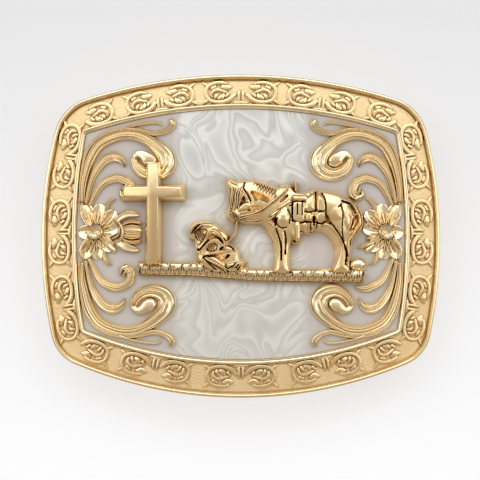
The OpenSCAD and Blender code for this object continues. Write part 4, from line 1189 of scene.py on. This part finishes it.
RIDER_SWELLINGS = (
    (-8.6, 2.7, 2.4, 0.9, -4, 0.4), (-5.9, 0.3, 1.9, 0.9, -42, 0.5), (-3.2, -3.2, 1.4, 0.9, -10, 0.5),
    (-6.3, -6.2, 3.0, 0.9, -36, 0.5), (-2.3, -7.4, 1.6, 0.8, 0, 0.4), (-10.3, -6.6, 0.9, 1.6, 15, 0.4))
RIDER_PANELS = (
    # Under the brim, under the sleeve, under the thigh, before the hands
    (-1.5, 0.16, ((-12.3, 0.1), (-11.7, 1.4), (-10.7, 2.4), (-9.6, 2.8), (-10.5, 2.0), (-11.4, 0.9))),
    (-1.7, 0.16, ((-11.0, -3.2), (-10.2, -3.9), (-9.0, -2.7), (-7.8, -1.5), (-6.8, -0.95), (-5.8, -0.9),
                  (-4.8, -1.8), (-4.2, -2.5), (-4.6, -1.2), (-5.6, -0.3), (-6.6, 0.1), (-7.6, 0.2),
                  (-8.2, -1.1), (-9.3, -2.4), (-10.2, -3.3))),
    (-1.8, 0.16, ((-9.3, -5.1), (-7.4, -4.85), (-5.4, -4.6), (-4.7, -4.4), (-4.3, -4.9), (-3.7, -5.4),
                  (-3.3, -4.7), (-2.6, -4.9), (-3.3, -5.7), (-4.4, -6.4), (-5.2, -6.1), (-6.4, -5.5),
                  (-8.2, -5.4))),
    (-1.8, 0.1, ((-5.3, -3.6), (-4.8, -2.9), (-4.1, -2.9), (-4.7, -3.7))),
    (-0.9, 0.25, ((-11.2, 0.2), (-9.6, 1.7), (-8.2, 1.2), (-8.6, -0.4), (-10.1, -2.6), (-11.0, -1.8))),
    (-0.8, 0.25, ((-8.6, -3.7), (-7.6, -2.3), (-6.4, -1.8), (-5.6, -2.6), (-6.0, -3.9), (-7.4, -4.1))))
RIDER_LINES = (
    (0.13, -0.7, ((-11.4, 0.3), (-10.6, 1.3), (-9.3, 2.2))),
    (0.17, -1.1, ((-9.2, -5.4), (-8.0, -6.7), (-6.5, -8.1), (-6.0, -8.4))),
    (0.11, -0.5, ((-8.3, -6.1), (-6.6, -7.3), (-5.0, -8.2), (-4.2, -8.6))),
    (0.13, -0.8, ((-3.6, -7.2), (-3.7, -7.7), (-3.0, -8.1), (-1.2, -7.0))),
    (0.16, -1.0, ((-1.1, -8.0), (-0.6, -7.2))),
    (0.15, -0.9, ((-3.5, -8.6), (-2.4, -9.1), (-1.1, -8.8), (-0.2, -7.7))),
    (0.13, -0.6, ((-4.2, -0.7), (-3.6, -1.4))),
    (0.13, -0.6, ((-3.3, -2.6), (-2.2, -3.0), (-1.6, -3.8))),
)
RIDER_STRANDS = (
    # Brim, front of the coat, back of the coat, sleeve, thigh, shin, boots
    ((-12.6, -0.7, 0.26, 0.4), (-12.6, 0.6, 0.24, 0.4), (-11.9, 1.9, 0.24, 0.4), (-10.6, 2.9, 0.26, 0.45),
     (-8.8, 3.2, 0.34, 0.5), (-7.0, 3.0, 0.24, 0.4)),
    ((-12.1, 0.0, 0.14, 0.4), (-11.1, 1.2, 0.14, 0.4), (-9.6, 2.3, 0.14, 0.4)),
    ((-11.2, -0.9, 0.22, 0.4), (-10.9, -2.4, 0.24, 0.4), (-10.7, -3.9, 0.26, 0.4), (-9.9, -4.6, 0.2, 0.4)),
    ((-8.3, -0.3, 0.22, 0.4), (-7.9, 0.8, 0.32, 0.4), (-6.6, 1.2, 0.4, 0.45), (-5.1, 0.1, 0.36, 0.4),
     (-4.0, -1.6, 0.26, 0.4), (-3.5, -2.3, 0.2, 0.3)),
    ((-10.4, -4.2, 0.26, 0.4), (-8.9, -2.9, 0.24, 0.4), (-7.6, -1.7, 0.22, 0.4), (-6.4, -1.3, 0.2, 0.4),
     (-5.2, -1.9, 0.2, 0.4), (-4.6, -2.6, 0.16, 0.3)),
    ((-9.3, -4.85, 0.24, 0.4), (-7.0, -4.5, 0.24, 0.4), (-5.0, -4.2, 0.22, 0.4), (-3.4, -4.0, 0.24, 0.45),
     (-1.8, -3.9, 0.24, 0.4)),
    ((-10.8, -4.6, 0.24, 0.4), (-10.4, -6.0, 0.26, 0.4), (-9.7, -7.3, 0.24, 0.4), (-8.5, -8.0, 0.2, 0.4)),
    ((-8.9, -5.6, 0.18, 0.4), (-7.2, -6.6, 0.3, 0.45), (-5.2, -7.5, 0.34, 0.45), (-3.9, -8.1, 0.22, 0.4)),
    ((-6.6, -8.7, 0.3, 0.5), (-5.4, -8.9, 0.34, 0.5), (-4.5, -9.0, 0.24, 0.4)),
    ((-3.6, -7.0, 0.22, 0.4), (-2.2, -6.6, 0.26, 0.45), (-0.6, -6.5, 0.24, 0.4), (1.2, -6.3, 0.14, 0.3)),
    ((-4.4, -3.4, 0.2, 0.4), (-3.4, -2.7, 0.22, 0.4), (-2.4, -2.6, 0.24, 0.4), (-1.6, -3.3, 0.2, 0.4)),
    ((-1.6, -3.2, 0.2, 0.3), (-1.3, -4.4, 0.22, 0.3), (-1.7, -5.8, 0.2, 0.3)),
)


def collar_hair(bm, ground):
    """Rough locks between the brim and the collar, and folds in the sleeve."""
    for spot in scattered((-9.9, -0.2), 1.35, 15) + scattered((-7.1, -3.0), 1.1, 8):
        stroke(bm, ((spot.x - 0.2, spot.y + 0.25, 0.15, 0.45), (spot.x + 0.15, spot.y - 0.25, 0.16, 0.5)),
               FINE_ROUND, 1, ground)


def make_rider():
    bm = bmesh.new()
    relief = Relief(RIDER_OUTLINE, level=2.1, dome=0.9, rounding=1.2, draft=0.7, drafts=RIDER_DRAFTS,
                    swellings=RIDER_SWELLINGS, lines=RIDER_LINES, panels=RIDER_PANELS)
    relief.build(bm, RIDER_PITCH)
    for rows in RIDER_STRANDS:
        stroke(bm, rows, ground=relief.ground)
    collar_hair(bm, relief.ground)
    finish_piece(bm, "bowed_rider", "kneeling_rider", (polished,), ENAMEL_H, FIGURE_SHARP)


# Fittings, floor, light, camera

def dress_fittings():
    # The wire gold takes the painted brown shade in its crevices
    satin = gold_material("wire_gold", (0.22, 0.32), RICH_GOLD, PAINTED_SHADE_BROWN, 1.0)
    for node in ("belt_loop", "belt_hook"):
        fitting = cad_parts[node]
        fitting.data.materials.clear()
        fitting.data.materials.append(satin)


def make_floor():
    bm = bmesh.new()
    bmesh.ops.create_grid(bm, x_segments=1, y_segments=1, size=3.0)
    new_object(bm, "floor", (floor_material(),))


def softbox(name, place, size, power):
    """A rectangular light in metres and watts that faces the buckle."""
    light = bpy.data.lights.new(name, "AREA")
    light.shape = "RECTANGLE"
    light.size, light.size_y = size
    light.energy = power
    lamp = bpy.data.objects.new(name, light)
    lamp.location = place
    lamp.rotation_euler = (-Vector(place)).to_track_quat("-Z", "Y").to_euler()
    bpy.context.collection.objects.link(lamp)


# Studio light by height above the horizon: sine of the height, strength
SKY = ((0.0, 0.04), (0.14, 0.07), (0.3, 0.24), (0.5, 0.5), (0.7, 0.54), (0.86, 0.46), (0.95, 0.45),
       (1.0, 0.47))
# Tone towards the bottom edge and the top edge, and where it changes between them
SKY_NEAR, SKY_FAR = (0.94, 0.83, 0.67), (1.34, 1.34, 1.33)
SKY_TURN = (-0.16, 0.18)


def studio_sky():
    """A dim horizon below a soft even sky, brightest beyond the top edge."""
    world = bpy.data.worlds.new("studio")
    world.use_nodes = True
    nodes, links = world.node_tree.nodes, world.node_tree.links
    background = nodes["Background"].inputs
    direction = parts(nodes, links, nodes.new("ShaderNodeTexCoord").outputs["Generated"])
    strength = toned(nodes, links, direction["Z"], [(height, [strength] * 3) for height, strength in SKY])
    links.new(strength, background["Strength"])
    far_share = mapped(nodes, links, direction["Y"], *SKY_TURN)
    links.new(mixed_colour(nodes, links, far_share, SKY_NEAR, SKY_FAR), background["Color"])
    bpy.context.scene.world = world


def light_studio():
    softbox("light_above", (0.0, 0.42, 0.62), (1.0, 0.42), 1.8)
    softbox("light_left", (-1.25, 0.15, 1.25), (0.6, 1.6), 2.6)
    softbox("light_right", (1.25, 0.1, 1.25), (0.6, 1.6), 2.2)
    studio_sky()


# The camera looks down on the face, a little from its bottom edge. Its lens is in millimetres, and
# so are the place on the enamel that it looks at and its distance from there
CAMERA_TILT = math.radians(2)
LENS, SENSOR_WIDTH = 72, 36
CAMERA_AIM = (-0.2, -1.125)
CAMERA_DISTANCE = 237.5


def place_camera():
    camera_data = bpy.data.cameras.new("camera")
    camera_data.lens = LENS
    camera_data.sensor_width = SENSOR_WIDTH
    camera = bpy.data.objects.new("camera", camera_data)
    camera.rotation_euler.x = CAMERA_TILT
    back = Vector((0, -math.sin(CAMERA_TILT), math.cos(CAMERA_TILT))) * CAMERA_DISTANCE
    camera.location = (Vector((*CAMERA_AIM, enamel_high.z)) + back) * MM
    bpy.context.collection.objects.link(camera)
    bpy.context.scene.camera = camera


make_buckle_body()
make_pearl_enamel()
for node, side, up in (("scroll_top_left", -1, 1), ("scroll_top_right", 1, 1),
                       ("scroll_bottom_left", -1, -1), ("scroll_bottom_right", 1, -1)):
    make_scroll(node, side, up)
make_flower("flower_left", -1)
make_flower("flower_right", 1)
make_cross()
make_ground_strip()
make_rider()
make_horse()
dress_fittings()
make_floor()
light_studio()
place_camera()
bpy.context.scene.view_settings.view_transform = "Standard"
